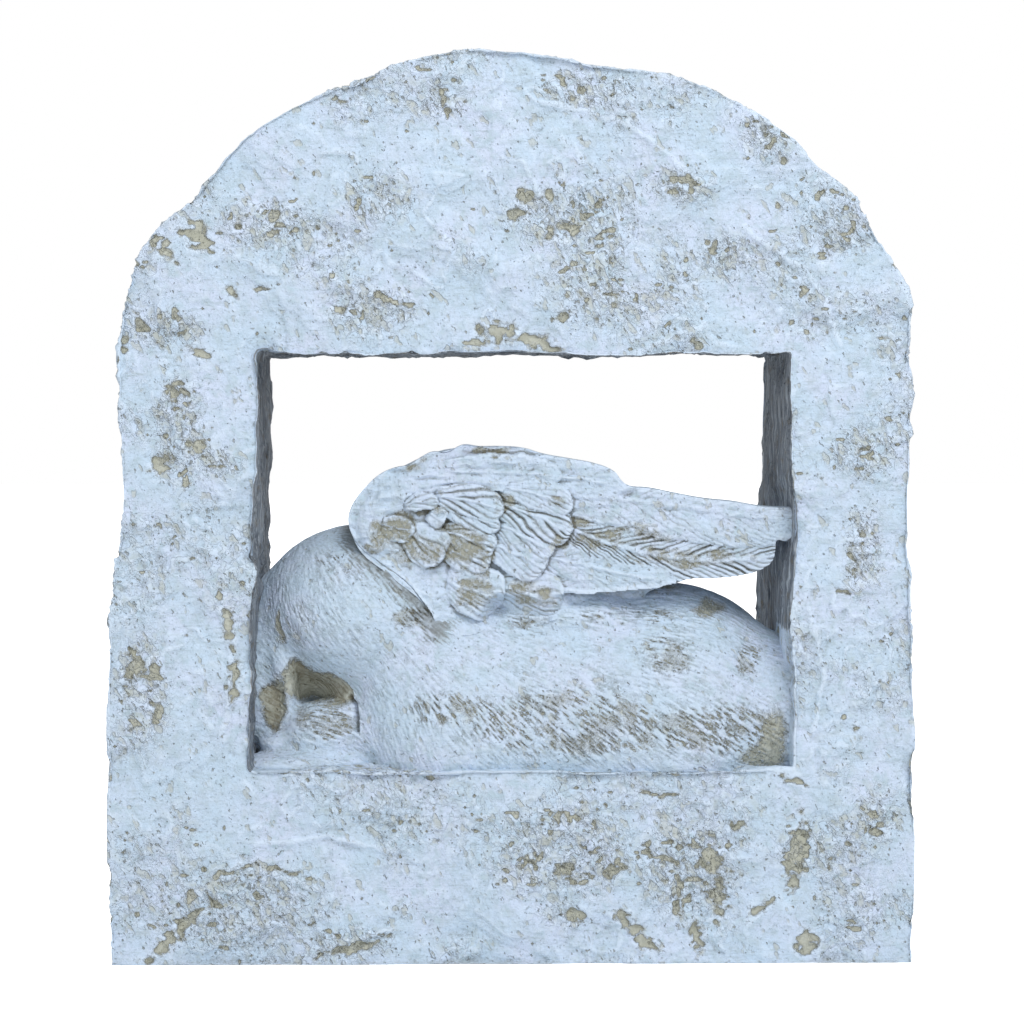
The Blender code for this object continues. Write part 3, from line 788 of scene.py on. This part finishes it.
def make_frame(grain, low, high):
    """The slab with its window, in worked plaster."""
    outline = [(along, up if up > 0.0 else -EDGE_ROUND) for along, up in slab_outline()]
    slab = plate("hewn_frame", [(outline, True), (window_outline(), False)], THICKNESS, 0.0)
    soften_slab(slab)
    skin_over(slab, grain)
    cut_foot(slab)
    points = read_points(slab.data)
    normals = read_normals(slab.data)
    away = (points[:, 1] > -THICKNESS * 0.42) | (np.abs(normals[:, 1]) < 0.2)
    thin_region(slab, away, FRAME_SHARE)
    points = read_points(slab.data)
    normals = read_normals(slab.data)
    foot = points[:, 2] < 0.00001
    faces = HEWN_ON_EDGES + (1.0 - HEWN_ON_EDGES) * np.abs(normals[:, 1])
    cuts = np.array([hewn(point) for point in points]) * faces
    moved = points - normals * cuts[:, None]
    lean_window(moved)
    hang_lip(moved)
    height, bare, crowd = frame_relief(points, normals)
    moved += normals * (height * (1.0 - foot))[:, None]
    moved[:, 2] = np.where(foot, 0.0, np.maximum(moved[:, 2], 0.0))
    write_points(slab.data, keep_in_box(moved, low, high))
    # Creases and ridges of the plaster; in the finish the creases are darkened as soil and painted shade
    relief = hollows(slab.data, *FRAME_CREASE) - 0.5
    relief *= np.where(relief > 0.0, 0.5 - 0.35 * bare, 0.8)
    store(slab.data, jamb=jamb_share(points, normals), bare=bare, pitted=crowd, groove=0.0,
          hollow=0.5 + relief)
    return slab


def on_figure(along, deep, up):
    """A place on the figure in metres, from shares of its length, depth and height."""
    left = WINDOW_SHIFT - FIGURE_LENGTH / 2
    return np.array((left + along * FIGURE_LENGTH, deep * FIGURE_DEPTH, SILL_HEIGHT + up * FIGURE_HEIGHT))


def mass_size(radii):
    """A round mass's radii in metres."""
    return np.array(radii) * (FIGURE_LENGTH, FIGURE_DEPTH, FIGURE_HEIGHT)


def mass_distance(points, mass):
    """Nearly the distance from each point to a round mass, negative inside it."""
    centre, radii = mass
    size = mass_size(radii)
    scaled = (points - on_figure(*centre)) / size
    near = np.linalg.norm(scaled, axis=1)
    steep = np.linalg.norm(scaled / size, axis=1)
    return near * (near - 1.0) / np.maximum(steep, 1e-9)


def blend(first, second, width):
    """The nearer of two distances, with a soft hollow where the masses meet."""
    part = np.clip(0.5 + 0.5 * (second - first) / width, 0.0, 1.0)
    return second * (1.0 - part) + first * part - width * part * (1.0 - part)


def body_distance(points):
    """Nearly the distance from each point to the dog's skin."""
    skin = np.full(len(points), FIGURE_LENGTH)
    for mass in BODY.values():
        skin = blend(skin, mass_distance(points, mass), FUR_BLEND)
    for mass in FAR_FEATURES.values():
        skin = blend(skin, mass_distance(points, mass), FACE_BLEND)
    for mass in NEAR_LUMPS.values():
        skin = blend(skin, mass_distance(points, mass), FACE_BLEND * 0.6)
    return skin


def skin_normals(points):
    """Which way the dog's skin faces at each point."""
    step = 0.0003
    slopes = []
    for axis in range(3):
        aside = np.zeros(3)
        aside[axis] = step
        slopes.append(body_distance(points + aside) - body_distance(points - aside))
    facing = np.column_stack(slopes)
    return facing / np.maximum(np.linalg.norm(facing, axis=1), 1e-12)[:, None]


def coat_angles(points):
    """The slope of the coat in radians, drawn evenly between the places of its table."""
    total = np.zeros(len(points))
    weight = np.zeros(len(points))
    for along, up, degrees in COAT:
        far = np.hypot(points[:, 0] - along * MM, points[:, 2] - up * MM) + 0.002
        total += math.radians(degrees) / far ** 3
        weight += 1.0 / far ** 3
    return total / weight


def coat_strokes(seeds, lengths, step, draw):
    """Follow hairs over the skin from their seeds; rows of points, each with its depth share."""
    angles = coat_angles(seeds) + draw.normal(0.0, 0.07, len(seeds))
    places, depths = [], []
    here = seeds.copy()
    longest = int(lengths.max() / step)
    for count in range(longest):
        facing = skin_normals(here)
        ahead = np.column_stack((np.cos(angles), np.zeros(len(here)), -np.sin(angles)))
        ahead -= facing * np.einsum("ij,ij->i", ahead, facing)[:, None]
        ahead /= np.maximum(np.linalg.norm(ahead, axis=1), 1e-9)[:, None]
        here = here + ahead * step
        here -= skin_normals(here) * body_distance(here)[:, None]
        share = (count + 0.5) * step / lengths
        alive = share < 1.0
        places.append(here[alive])
        depths.append(np.sin(share[alive] * math.pi) ** 0.6)
        turn = coat_angles(here)
        angles = angles + (turn - angles) * 0.3
    return np.vstack(places), np.concatenate(depths)


def groove_depths(points, places, depths, half_width):
    """How deep the nearest groove is at each point, as a share of the full depth."""
    tree = kdtree.KDTree(len(places))
    for number, place in enumerate(places):
        tree.insert(place, number)
    tree.balance()
    result = np.zeros(len(points))
    for number, point in enumerate(points):
        place, which, far = tree.find(point)
        if far < half_width:
            share = 1.0 - far / half_width
            result[number] = depths[which] * share * (2.0 - share)
    return result


def make_dog(grain, low, high):
    """The sleeping dog, with its coat cut in as fine grooves."""
    parts = []
    masses = {**BODY, **FAR_FEATURES, **NEAR_LUMPS}
    for name, (centre, radii) in masses.items():
        bpy.ops.mesh.primitive_uv_sphere_add(segments=32, ring_count=20, radius=1.0)
        ball = bpy.context.view_layer.objects.active
        write_points(ball.data, read_points(ball.data) * mass_size(radii) + on_figure(*centre))
        parts.append(ball)
    dog = gather("sleeping_dog", parts)
    skin_over(dog, ROUGH_DOG_GRAIN)
    for _ in range(5):
        points = read_points(dog.data)
        reach = np.clip(body_distance(points), -0.001, 0.001)
        write_points(dog.data, points - read_normals(dog.data) * reach[:, None])
    skin_over(dog, grain)
    points = read_points(dog.data)
    away = (points[:, 1] > 0.004) | (points[:, 2] < SILL_HEIGHT - 0.001)
    thin_region(dog, away, DOG_SHARE)
    points = read_points(dog.data)
    for _ in range(2):
        points = points - skin_normals(points) * body_distance(points)[:, None]
    facing = skin_normals(points)
    draw = np.random.default_rng(HAIR_SEED)
    open_skin = np.flatnonzero((points[:, 2] > SILL_HEIGHT + 0.0005) & (points[:, 1] < 0.024))
    seeds = points[draw.choice(open_skin, HAIRS, replace=False)]
    lengths = draw.uniform(SHORTEST_HAIR, LONGEST_HAIR, len(seeds))
    places, depths = coat_strokes(seeds, lengths, HAIR_STEP, draw)
    grooves = groove_depths(points, places, depths, HAIR_HALF_WIDTH)
    worn = zones(points, WORN_COAT)
    strength = (0.42 + 0.38 * worn) * (0.30 + 1.2 * cloud(points, *HAIR_STRENGTH))
    plaster = cloud(points, *COAT_LUMPS) - 0.5
    near = points[:, 1] < 0.0
    ragged = warped(points, *RAGGED_CLEFT)
    cleft = smooth_step(CLEFT_HALF_WIDTH, 0.0, path_distance(ragged, CLEFT)) * near
    fold = smooth_step(FOLD_HALF_WIDTH, 0.0, path_distance(points, FOLD)) * near
    sunk = grooves * strength * HAIR_DEPTH + cleft * CLEFT_DEPTH + fold * FOLD_DEPTH
    moved = points + facing * (plaster * COAT_PLASTER - sunk)[:, None]
    write_points(dog.data, keep_in_box(moved, low, high))
    deep = (points[:, 1] > BARE_BEHIND) | (points[:, 0] > 0.0)
    bare = zones(points, BARE_ON_FIGURE) * deep * near
    rubbed = smooth_step(0.35, 0.75, worn * (0.45 + cloud(points, *RUBBED_PLACES)))
    hazy = 0.30 * smooth_step(0.48, 0.64, cloud(points, *HAZY_PLACES)) * smooth_step(0.3, 0.8, worn) * near
    bare = np.maximum(bare, np.maximum(smooth_step(0.3, 0.85, grooves) * rubbed * 0.50, hazy))
    # Painted shadow of the wing on the neck, darkest along the wing's edge; it joins the hollow mask and
    # the finish darkens it
    shade = 0.52 * smooth_step(WING_SHADE, 0.0006, path_distance(points, SHADY_EDGE)) * near
    # Painted shade under the head's lower edge and in the corner by the paw, only on bare stone
    below = smooth_step(HEAD_SHADE, 0.0005, path_distance(ragged, UNDER_HEAD))
    corner = smooth_step(CORNER_SHADE, 0.0010, path_distance(ragged, CORNER))
    below = np.maximum(below, corner) * (bare > 0.2)
    # The hollow mask holds the coat's creases plus the painted shadows above; the finish darkens both as
    # soil and painted shade
    relief = 0.8 * hollows(dog.data, *COAT_CREASE) + 0.06
    store(dog.data, jamb=0.0, bare=bare, groove=grooves * strength, pitted=0.25 * worn,
          hollow=relief + shade + 0.34 * below)
    return dog


def wing_middle(side):
    """Where the middle of a wing's thickness lies."""
    return side * (THICKNESS / 2 - WING_SETBACK - WING_THICKNESS / 2)


def make_arm(side):
    """The round arm along the top of one wing."""
    middle = wing_middle(side) / FIGURE_DEPTH
    curve = bpy.data.curves.new("arm", "CURVE")
    curve.dimensions = "3D"
    curve.resolution_u = 10
    curve.bevel_depth = 1.0
    curve.bevel_resolution = 8
    curve.use_fill_caps = True
    path = curve.splines.new("BEZIER")
    path.bezier_points.add(len(WING_ARM) - 1)
    for knot, (along, up, radius) in zip(path.bezier_points, WING_ARM):
        knot.co = on_figure(along, middle, up)
        knot.radius = radius * FIGURE_LENGTH
        knot.handle_left_type = "AUTO"
        knot.handle_right_type = "AUTO"
    return to_mesh(link("arm", curve))


def feather_place(flat, place):
    """Where points lie on one feather: share of its length, share of its half width, and the length."""
    root_along, root_up, tip_along, tip_up, width, bow = place
    root = np.array((root_along, root_up)) * MM
    ahead = np.array((tip_along, tip_up)) * MM - root
    length = float(np.linalg.norm(ahead))
    ahead = ahead / length
    across = np.array((-ahead[1], ahead[0]))
    share = (flat - root) @ ahead / length
    aside = (flat - root) @ across - bow * MM * 4.0 * share * (1.0 - share)
    middle = np.clip(share, 0.0, 1.0)
    tip = np.sqrt(np.clip(1.0 - np.clip((middle - 0.66) / 0.34, 0.0, 1.0) ** 2.4, 0.0, 1.0))
    half = width * MM * 0.66 * tip * (0.62 + 0.38 * smooth_step(0.0, 0.5, middle))
    return share, aside / np.maximum(half, 1e-5), length


def feather_heights(flat):
    """The outermost feather over each point: its height in metres and its number, or -1 for none."""
    best = np.full(len(flat), -1.0)
    owner = np.full(len(flat), -1)
    for number, (*place, lift, _) in enumerate(FEATHERS):
        share, aside, _ = feather_place(flat, place)
        inside = (np.abs(aside) < 1.0) & (share > 0.0) & (share < 1.0)
        crown = FEATHER_CROWN * np.sqrt(np.clip(1.0 - np.abs(aside) ** 3.0, 0.0, 1.0))
        rise = (lift * MM * 0.9 + TIP_RISE * share + crown) * smooth_step(-0.06, 0.14, share)
        rise += QUILL_RIDGE * smooth_step(0.14, 0.03, np.abs(aside)) * smooth_step(1.0, 0.75, share)
        rise = np.where(inside, rise, -1.0)
        better = rise > best
        best = np.where(better, rise, best)
        owner = np.where(better, number, owner)
    return best, owner


def barb_grooves(flat, owner):
    """How deep the cuts between the barbs are at each point of the feathers, as a share."""
    result = np.zeros(len(flat))
    for number, (*place, _, cut) in enumerate(FEATHERS):
        mine = np.flatnonzero(owner == number)
        if not len(mine):
            continue
        share, aside, length = feather_place(flat[mine], place)
        width = place[4] * MM
        flight = length > FLIGHT_FEATHER
        away = np.abs(aside) * width / 2
        slant = share * length * (1.0 if flight else 0.22) - away * (2.8 if flight else 1.0)
        spacing = FLIGHT_BARBS if flight else COVERT_BARBS
        drift = np.column_stack((share * length * 0.3, away, np.sign(aside) * 0.004))
        phase = slant / spacing + (cloud(drift, DRIFT_GRAIN, DRIFT_SEED + number) - 0.5) * 1.6
        cell = np.floor(phase)
        wave = np.abs(phase - cell - 0.5) * 2.0
        nearest = np.round(phase)
        barb = np.column_stack((nearest, np.sign(aside), nearest * 0)).astype(np.int64)
        some = lattice(barb, CUT_SEED + number)
        cuts = smooth_step(0.25, 1.0, wave) * (0.25 + 0.75 * some)
        cuts *= smooth_step(0.02, 0.14, np.abs(aside)) * smooth_step(0.0, 0.10, share)
        cuts *= 0.35 + 0.95 * cloud(drift, FADE_GRAIN, FADE_SEED + number)
        result[mine] = cuts * cut
    return np.clip(result, 0.0, 1.3)


def smooth_path(path, between):
    """A line of rows drawn through evenly, with more rows between the given ones."""
    rows = np.array(path)
    rows = np.vstack((2 * rows[0] - rows[1], rows, 2 * rows[-1] - rows[-2]))
    result = []
    for number in range(1, len(rows) - 2):
        before, start, end, after = rows[number - 1:number + 3]
        for step in range(between):
            t = step / between
            curve = 2 * start + (end - before) * t + (2 * before - 5 * start + 4 * end - after) * t ** 2
            result.append((curve + (3 * start - before - 3 * end + after) * t ** 3) / 2)
    return np.array(result + [rows[-2]])


def arm_bulge(flat):
    """How far the round arm stands out over the wing's face at each point, in metres."""
    path = smooth_path(WING_ARM, 5)
    places = np.array([on_figure(along, 0.0, up)[[0, 2]] for along, up, _ in path])
    radii = path[:, 2] * FIGURE_LENGTH
    bulge = np.zeros(len(flat))
    for first, second, thick, thin in zip(places, places[1:], radii, radii[1:]):
        ahead = second - first
        share = np.clip((flat - first) @ ahead / (ahead @ ahead), 0.0, 1.0)
        far = np.linalg.norm(flat - first - share[:, None] * ahead, axis=1)
        radius = thick + (thin - thick) * share
        round_height = np.sqrt(np.clip(radius ** 2 - far ** 2, 0.0, None))
        height = ARM_SHARE * (round_height - WING_THICKNESS / 2 + ARM_PROUD)
        np.maximum(bulge, height, out=bulge)
    return bulge


def drape(flat, side):
    """How far out the dog's skin lies under each point of a wing, or 0 where it isn't under it."""
    points = np.column_stack((flat[:, 0], np.full(len(flat), side * THICKNESS / 2), flat[:, 1]))
    for _ in range(DRAPE_STEPS):
        points[:, 1] -= side * np.clip(body_distance(points), 0.0, LONGEST_STEP)
    reached = body_distance(points) < 0.0004
    return np.where(reached, np.clip(points[:, 1] * side, 0.0, None), 0.0)


def make_wing(name, side, grain, low, high):
    """One wing: arm, web and feathers. Side -1 faces the camera and side 1 faces away."""
    edge = [(along * MM, up * MM) for along, up in WING_EDGE]
    web = plate("web", [(edge, True)], WING_THICKNESS, wing_middle(side))
    rounded_edges(web, WEB_EDGE_ROUND, 3)
    wing = gather(name, [make_arm(side), web])
    skin_over(wing, grain)
    normals = read_normals(wing.data)
    thin_region(wing, normals[:, 1] * side < 0.1, WING_SHARE)
    points = read_points(wing.data)
    normals = read_normals(wing.data)
    flat = points[:, [0, 2]]
    face = wing_middle(side) * side + WING_THICKNESS / 2
    ragged = warped(points, *RAGGED_FEATHERS)[:, [0, 2]]
    rise, owner = feather_heights(ragged)
    bulge = arm_bulge(flat)
    facing = smooth_step(0.10, 0.50, normals[:, 1] * side)
    skin = drape(flat, side)
    blended = smooth_step(FOOT_BLEND, 0.0004, path_distance(points, WING_FOOT)) * (skin > 0.004)
    ground = np.maximum(face, skin + OVER_SKIN)
    ground += (skin + FOOT_RISE * (1.0 - blended) - FOOT_SINK - ground) * blended
    feathered = rise > bulge
    outward = points[:, 1] * side
    lifted = ground + np.maximum(np.maximum(rise, bulge), 0.0) * (1.0 - blended ** 1.5)
    grooves = barb_grooves(ragged, np.where(feathered, owner, -1)) * facing
    cut_depth = np.array([feather[-1] for feather in FEATHERS])
    arm = np.where(feathered & (owner >= 0), smooth_step(0.7, 0.3, cut_depth[owner]), 1.0)
    bent = warped(points, *BENT_FLAKES)
    flakes = terraced(cloud(bent * (0.4, 1.0, 1.3), *WING_FLAKES), 6.0) - 0.5
    plaster = cloud(points, *WING_LUMPS) - 0.5
    streaks = cloud(bent * (0.16, 1.0, 1.0), *WING_STREAKS) - 0.5
    lifted += plaster * (0.00030 + 0.00020 * arm) + (flakes * ARM_FLAKES + streaks * ARM_STREAKS) * arm
    lifted -= grooves * BARB_DEPTH
    moved = points.copy()
    shaped = outward + (lifted - outward) * facing
    moved[:, 1] = np.where(blended > 0.0, np.minimum(shaped, lifted), shaped) * side
    moved[:, 2] -= FAR_WING_DROP if side > 0 else 0.0
    write_points(wing.data, keep_in_box(moved, low, high))
    # Creases and ridges of the wing; in the finish the creases are darkened as soil and painted shade
    relief = 0.5 + (hollows(wing.data, *WING_CREASE) - 0.5) * (0.85 - 0.6 * blended)
    worn = zones(points, BARE_ON_WING)
    spread = worn * 0.50 + (relief - 0.5) * 0.5 + (cloud(points, *WING_WEAR) - 0.5) * 0.9 + 0.07
    bare = smooth_step(0.05, 0.75, spread) * smooth_step(0.05, 0.5, worn) * 0.50
    store(wing.data, jamb=0.0, bare=np.maximum(bare, grooves * 0.35), groove=grooves,
          pitted=0.08 * arm, hollow=relief)
    return wing


def paint(name):
    """A named colour as the shader wants it."""
    linear = []
    for value in COLOURS[name]:
        value /= 255
        linear.append(value / 12.92 if value <= 0.04045 else ((value + 0.055) / 1.055) ** 2.4)
    return (*linear, 1.0)


def put(tree, kind, inputs=None, **settings):
    """Add a node with its settings, and its inputs as values or as sockets to connect."""
    made = tree.nodes.new(kind)
    for name, value in settings.items():
        setattr(made, name, value)
    for name, value in (inputs or {}).items():
        if isinstance(value, bpy.types.NodeSocket):
            tree.links.new(value, made.inputs[name])
        else:
            made.inputs[name].default_value = value
    return made


def calc(tree, operation, first, second=0.0):
    """A sum on two values."""
    made = put(tree, "ShaderNodeMath", {0: first, 1: second}, operation=operation)
    return made.outputs[0]


def times(tree, first, second):
    """One value times another."""
    return calc(tree, "MULTIPLY", first, second)


def plus(tree, first, second):
    """One value and another."""
    return calc(tree, "ADD", first, second)


def minus(tree, first, second):
    """One value less another."""
    return calc(tree, "SUBTRACT", first, second)


def soft_step(tree, value, low, high):
    """0 below low, 1 above high, soft between."""
    made = put(tree, "ShaderNodeMapRange", {"Value": value, "From Min": low, "From Max": high},
               interpolation_type="SMOOTHSTEP")
    return made.outputs["Result"]


def mix(tree, share, first, second):
    """Two colours mixed."""
    made = put(tree, "ShaderNodeMix", {0: share, 6: first, 7: second}, data_type="RGBA")
    return made.outputs[2]


def grain_texture(tree, place, name):
    """One of the finish's kinds of noise, read at the given place."""
    size, detail, roughness = GRAINS[name]
    made = put(tree, "ShaderNodeTexNoise", {"Vector": place, "Scale": 1.0 / size, "Detail": detail,
                                            "Roughness": roughness})
    return made.outputs["Fac"]


def stretched(tree, place, scale):
    """The place vector, scaled per axis."""
    made = put(tree, "ShaderNodeVectorMath", {0: place, 1: scale}, operation="MULTIPLY")
    return made.outputs[0]


def turned(tree, place, degrees):
    """The place vector, turned about the axis from front to back."""
    made = put(tree, "ShaderNodeVectorRotate", {"Vector": place, "Angle": math.radians(degrees)},
               rotation_type="Y_AXIS")
    return made.outputs[0]


def whitewash_group():
    """The worn whitewash: paint, bare stone, pits, painted highlights on rims, and soil with painted shade
    in creases and under overhangs, from five masks.
    """
    tree = bpy.data.node_groups.new("worn whitewash", "ShaderNodeTree")
    tree.interface.new_socket("Place", in_out="INPUT", socket_type="NodeSocketVector")
    for name in ("Bare", "Hollow", "Jamb", "Pitted", "Groove"):
        tree.interface.new_socket(name, in_out="INPUT", socket_type="NodeSocketFloat")
    tree.interface.new_socket("Color", in_out="OUTPUT", socket_type="NodeSocketColor")
    tree.interface.new_socket("Height", in_out="OUTPUT", socket_type="NodeSocketFloat")
    tree.interface.new_socket("Roughness", in_out="OUTPUT", socket_type="NodeSocketFloat")
    given = tree.nodes.new("NodeGroupInput").outputs
    place = given["Place"]
    slant = stretched(tree, turned(tree, place, -60.0), (0.65, 1.0, 1.1))
    fine = grain_texture(tree, place, "fine")
    broad = grain_texture(tree, place, "broad")
    middle = grain_texture(tree, place, "middle")
    flecks = grain_texture(tree, slant, "flecks")
    spots = grain_texture(tree, slant, "spots")
    curls = grain_texture(tree, place, "curls")
    scratches = grain_texture(tree, stretched(tree, place, (0.16, 1.0, 1.0)), "scratches")
    gritty = minus(tree, fine, 0.5)

    white = mix(tree, soft_step(tree, broad, 0.35, 0.65), paint("white"), paint("bright white"))
    white = mix(tree, soft_step(tree, middle, 0.40, 0.75), white, paint("dull white"))
    white = mix(tree, soft_step(tree, fine, 0.50, 0.8), white, paint("grey white"))
    worn_line = times(tree, soft_step(tree, scratches, 0.54, 0.72), 0.5)
    white = mix(tree, worn_line, white, paint("scratch"))
    tan = mix(tree, soft_step(tree, middle, 0.35, 0.7), paint("bare stone"), paint("light stone"))
    tan = mix(tree, soft_step(tree, fine, 0.48, 0.8), tan, paint("deep stone"))
    dark = mix(tree, soft_step(tree, middle, 0.3, 0.7), paint("deep pit"), paint("pit"))

    ragged = plus(tree, given["Bare"], times(tree, gritty, 1.2))
    bare = soft_step(tree, ragged, 0.36, 0.62)
    # Rims: a pale band round chips and spots, painted highlight on their raised edge, which the bump also
    # raises
    rim = minus(tree, soft_step(tree, ragged, 0.18, 0.32), soft_step(tree, ragged, 0.32, 0.42))
    inside = soft_step(tree, ragged, 0.50, 0.72)
    # Painted shadow in a thin band just inside each chip's edge
    edge_shade = minus(tree, soft_step(tree, ragged, 0.40, 0.47), inside)
    crowd = given["Pitted"]
    fleck_limit = minus(tree, 0.685, times(tree, crowd, 0.085))
    pits = soft_step(tree, minus(tree, flecks, fleck_limit), 0.0, 0.07)
    spot_limit = minus(tree, 0.64, times(tree, crowd, 0.10))
    over = minus(tree, spots, spot_limit)
    patch_rim = minus(tree, soft_step(tree, over, -0.05, -0.01), soft_step(tree, over, -0.01, 0.02))
    patch = soft_step(tree, over, 0.0, 0.07)
    rim = calc(tree, "MAXIMUM", rim, times(tree, patch_rim, plus(tree, crowd, 0.2)))
    curl = calc(tree, "ABSOLUTE", minus(tree, curls, 0.5))
    curl = times(tree, soft_step(tree, curl, 0.035, 0.0), plus(tree, crowd, 0.25))
    haze = times(tree, soft_step(tree, curls, 0.50, 0.66), plus(tree, crowd, 0.25))
    worms = calc(tree, "ABSOLUTE", minus(tree, grain_texture(tree, slant, "worms"), 0.5))
    worm_share = plus(tree, times(tree, crowd, 0.5), 0.40)
    worms = times(tree, soft_step(tree, worms, 0.065, 0.0), worm_share)
    khaki = soft_step(tree, given["Bare"], 0.05, 0.50)
    light = soft_step(tree, given["Hollow"], 0.49, 0.18)
    # Groove grey: partly colour, partly painted shade in grooves too fine to shade themselves
    groove = soft_step(tree, given["Groove"], 0.08, 0.7)
    # Darkening in creases and in the masks' painted shadows, partly soil and partly painted shade
    darkening_level = plus(tree, given["Hollow"], times(tree, gritty, 0.3))
    soil_and_shade_share = soft_step(tree, darkening_level, 0.56, 1.0)
    soil_and_shade_paint = mix(tree, bare, paint("soil_and_shade_paint"), paint("bare soil and shade"))
    # Layers over the white, in order; the rim, edge shade, groove and last layers carry painted highlight
    # and shade
    layers = (
        (haze, 0.50, paint("haze")), (worms, 0.30, paint("worm")), (khaki, 0.72, paint("khaki")),
        (light, 0.55, paint("ridge")), (patch, 0.52, tan), (curl, 0.62, paint("curl")),
        (groove, 0.54, paint("groove")), (rim, 0.6, paint("rim")), (bare, 0.85, tan),
        (edge_shade, 0.14, paint("chip edge shadow")), (pits, 0.58, dark), (soil_and_shade_share, 0.75, soil_and_shade_paint),
    )
    color = white
    for share, strength, layer in layers:
        color = mix(tree, times(tree, share, strength), color, layer)

    streaks = grain_texture(tree, stretched(tree, place, (1.0, 1.0, 0.09)), "streaks")
    jamb = mix(tree, soft_step(tree, streaks, 0.42, 0.75), paint("window side"), paint("light streak"))
    jamb = mix(tree, soft_step(tree, middle, 0.5, 0.8), jamb, paint("brown streak"))
    edge = plus(tree, given["Jamb"], times(tree, minus(tree, middle, 0.5), 0.8))
    color = mix(tree, soft_step(tree, edge, 0.4, 0.6), color, jamb)

    height = times(tree, fine, 0.24)
    for part, raised in ((curl, 0.20), (rim, 0.22), (scratches, 0.22), (middle, 0.45)):
        height = plus(tree, height, times(tree, part, raised))
    for part, sunk in ((bare, 0.35), (pits, 0.45), (patch, 0.22), (worms, 0.12)):
        height = minus(tree, height, times(tree, part, sunk))
    rough = plus(tree, PAINT_ROUGHNESS, times(tree, bare, BARE_ROUGHER))
    out = tree.nodes.new("NodeGroupOutput")
    tree.links.new(color, out.inputs["Color"])
    tree.links.new(height, out.inputs["Height"])
    tree.links.new(rough, out.inputs["Roughness"])
    return tree


def whitewash(name, group):
    """One piece's finish."""
    finish = bpy.data.materials.new(name)
    finish.use_nodes = True
    tree = finish.node_tree
    shader = tree.nodes["Principled BSDF"]
    place = tree.nodes.new("ShaderNodeTexCoord").outputs["Object"]
    worn = tree.nodes.new("ShaderNodeGroup")
    worn.node_tree = group
    tree.links.new(place, worn.inputs["Place"])
    for mask in ("bare", "hollow", "jamb", "pitted", "groove"):
        read = put(tree, "ShaderNodeAttribute", attribute_name=mask)
        tree.links.new(read.outputs["Fac"], worn.inputs[mask.capitalize()])
    bump = put(tree, "ShaderNodeBump", {"Strength": 1.0, "Distance": MM, "Height": worn.outputs["Height"]})
    tree.links.new(worn.outputs["Color"], shader.inputs["Base Color"])
    tree.links.new(worn.outputs["Roughness"], shader.inputs["Roughness"])
    tree.links.new(bump.outputs["Normal"], shader.inputs["Normal"])
    shader.inputs["Specular IOR Level"].default_value = SHEEN
    return finish


def finish_piece(thing, material, low, high):
    """Smooth shading, one material, and the piece's place in the record."""
    lighten(thing)
    write_points(thing.data, keep_in_box(read_points(thing.data), low, high))
    thing.data.shade_smooth()
    thing.data.materials.clear()
    thing.data.materials.append(material)
    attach(thing, "root")
    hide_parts("grave_marker")


def make_floor():
    """A plain pale floor."""
    bpy.ops.mesh.primitive_plane_add(size=8.0, location=(0.0, 0.0, 0.0))
    floor = bpy.context.view_layer.objects.active
    floor.name = "floor"
    pale = bpy.data.materials.new("pale floor")
    pale.use_nodes = True
    shader = pale.node_tree.nodes["Principled BSDF"]
    shader.inputs["Base Color"].default_value = PALE
    shader.inputs["Roughness"].default_value = 0.9
    shader.inputs["Emission Color"].default_value = WHITE
    ray = pale.node_tree.nodes.new("ShaderNodeLightPath")
    pale.node_tree.links.new(ray.outputs["Is Camera Ray"], shader.inputs["Emission Strength"])
    floor.data.materials.append(pale)


def add_light(name, place, size, power):
    """A soft square light aimed at the stone."""
    bpy.ops.object.light_add(type="AREA", location=place)
    light = bpy.context.view_layer.objects.active
    light.name = name
    light.data.shape = "SQUARE"
    light.data.size = size
    light.data.energy = power
    light.rotation_euler = (Vector(SUBJECT) - Vector(place)).to_track_quat("-Z", "Y").to_euler()


def make_studio():
    """Soft plain light from above the camera."""
    world = bpy.data.worlds.new("studio")
    bpy.context.scene.world = world
    world.use_nodes = True
    tree = world.node_tree
    tree.nodes["Background"].inputs["Color"].default_value = WHITE
    tree.nodes["Background"].inputs["Strength"].default_value = SKY
    seen = put(tree, "ShaderNodeBackground", {"Color": WHITE, "Strength": 1.0})
    ray = tree.nodes.new("ShaderNodeLightPath")
    both = put(tree, "ShaderNodeMixShader", {0: ray.outputs["Is Camera Ray"],
                                             1: tree.nodes["Background"].outputs[0], 2: seen.outputs[0]})
    tree.links.new(both.outputs[0], tree.nodes["World Output"].inputs["Surface"])
    add_light("key", *KEY_LIGHT)
    add_light("front", *FRONT_LIGHT)


def make_camera():
    """The camera where the photo was taken from."""
    lens = bpy.data.cameras.new("camera")
    lens.sensor_width = FILM_WIDTH
    lens.lens = LENS
    camera = link("camera", lens)
    camera.location = CAMERA_PLACE
    camera.rotation_euler = (math.radians(CAMERA_TILT), 0.0, math.radians(CAMERA_TURN))
    bpy.context.scene.camera = camera


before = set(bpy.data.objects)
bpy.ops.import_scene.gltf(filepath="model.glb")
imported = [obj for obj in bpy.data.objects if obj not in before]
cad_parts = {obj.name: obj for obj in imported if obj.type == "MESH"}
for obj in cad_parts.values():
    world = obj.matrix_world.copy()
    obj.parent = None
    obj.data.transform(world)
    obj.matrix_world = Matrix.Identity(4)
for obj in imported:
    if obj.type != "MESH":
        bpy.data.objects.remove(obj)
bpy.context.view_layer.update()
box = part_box("grave_marker")
make_camera()
make_studio()
make_floor()
worn = whitewash_group()
finish_piece(make_frame(FRAME_GRAIN, *box), whitewash("frame whitewash", worn), *box)
finish_piece(make_dog(DOG_GRAIN, *box), whitewash("coat whitewash", worn), *box)
wing_finish = whitewash("wing whitewash", worn)
finish_piece(make_wing("near_wing", -1, NEAR_WING_GRAIN, *box), wing_finish, *box)
finish_piece(make_wing("far_wing", 1, FAR_WING_GRAIN, *box), wing_finish, *box)
bpy.context.scene.view_settings.view_transform = "Standard"
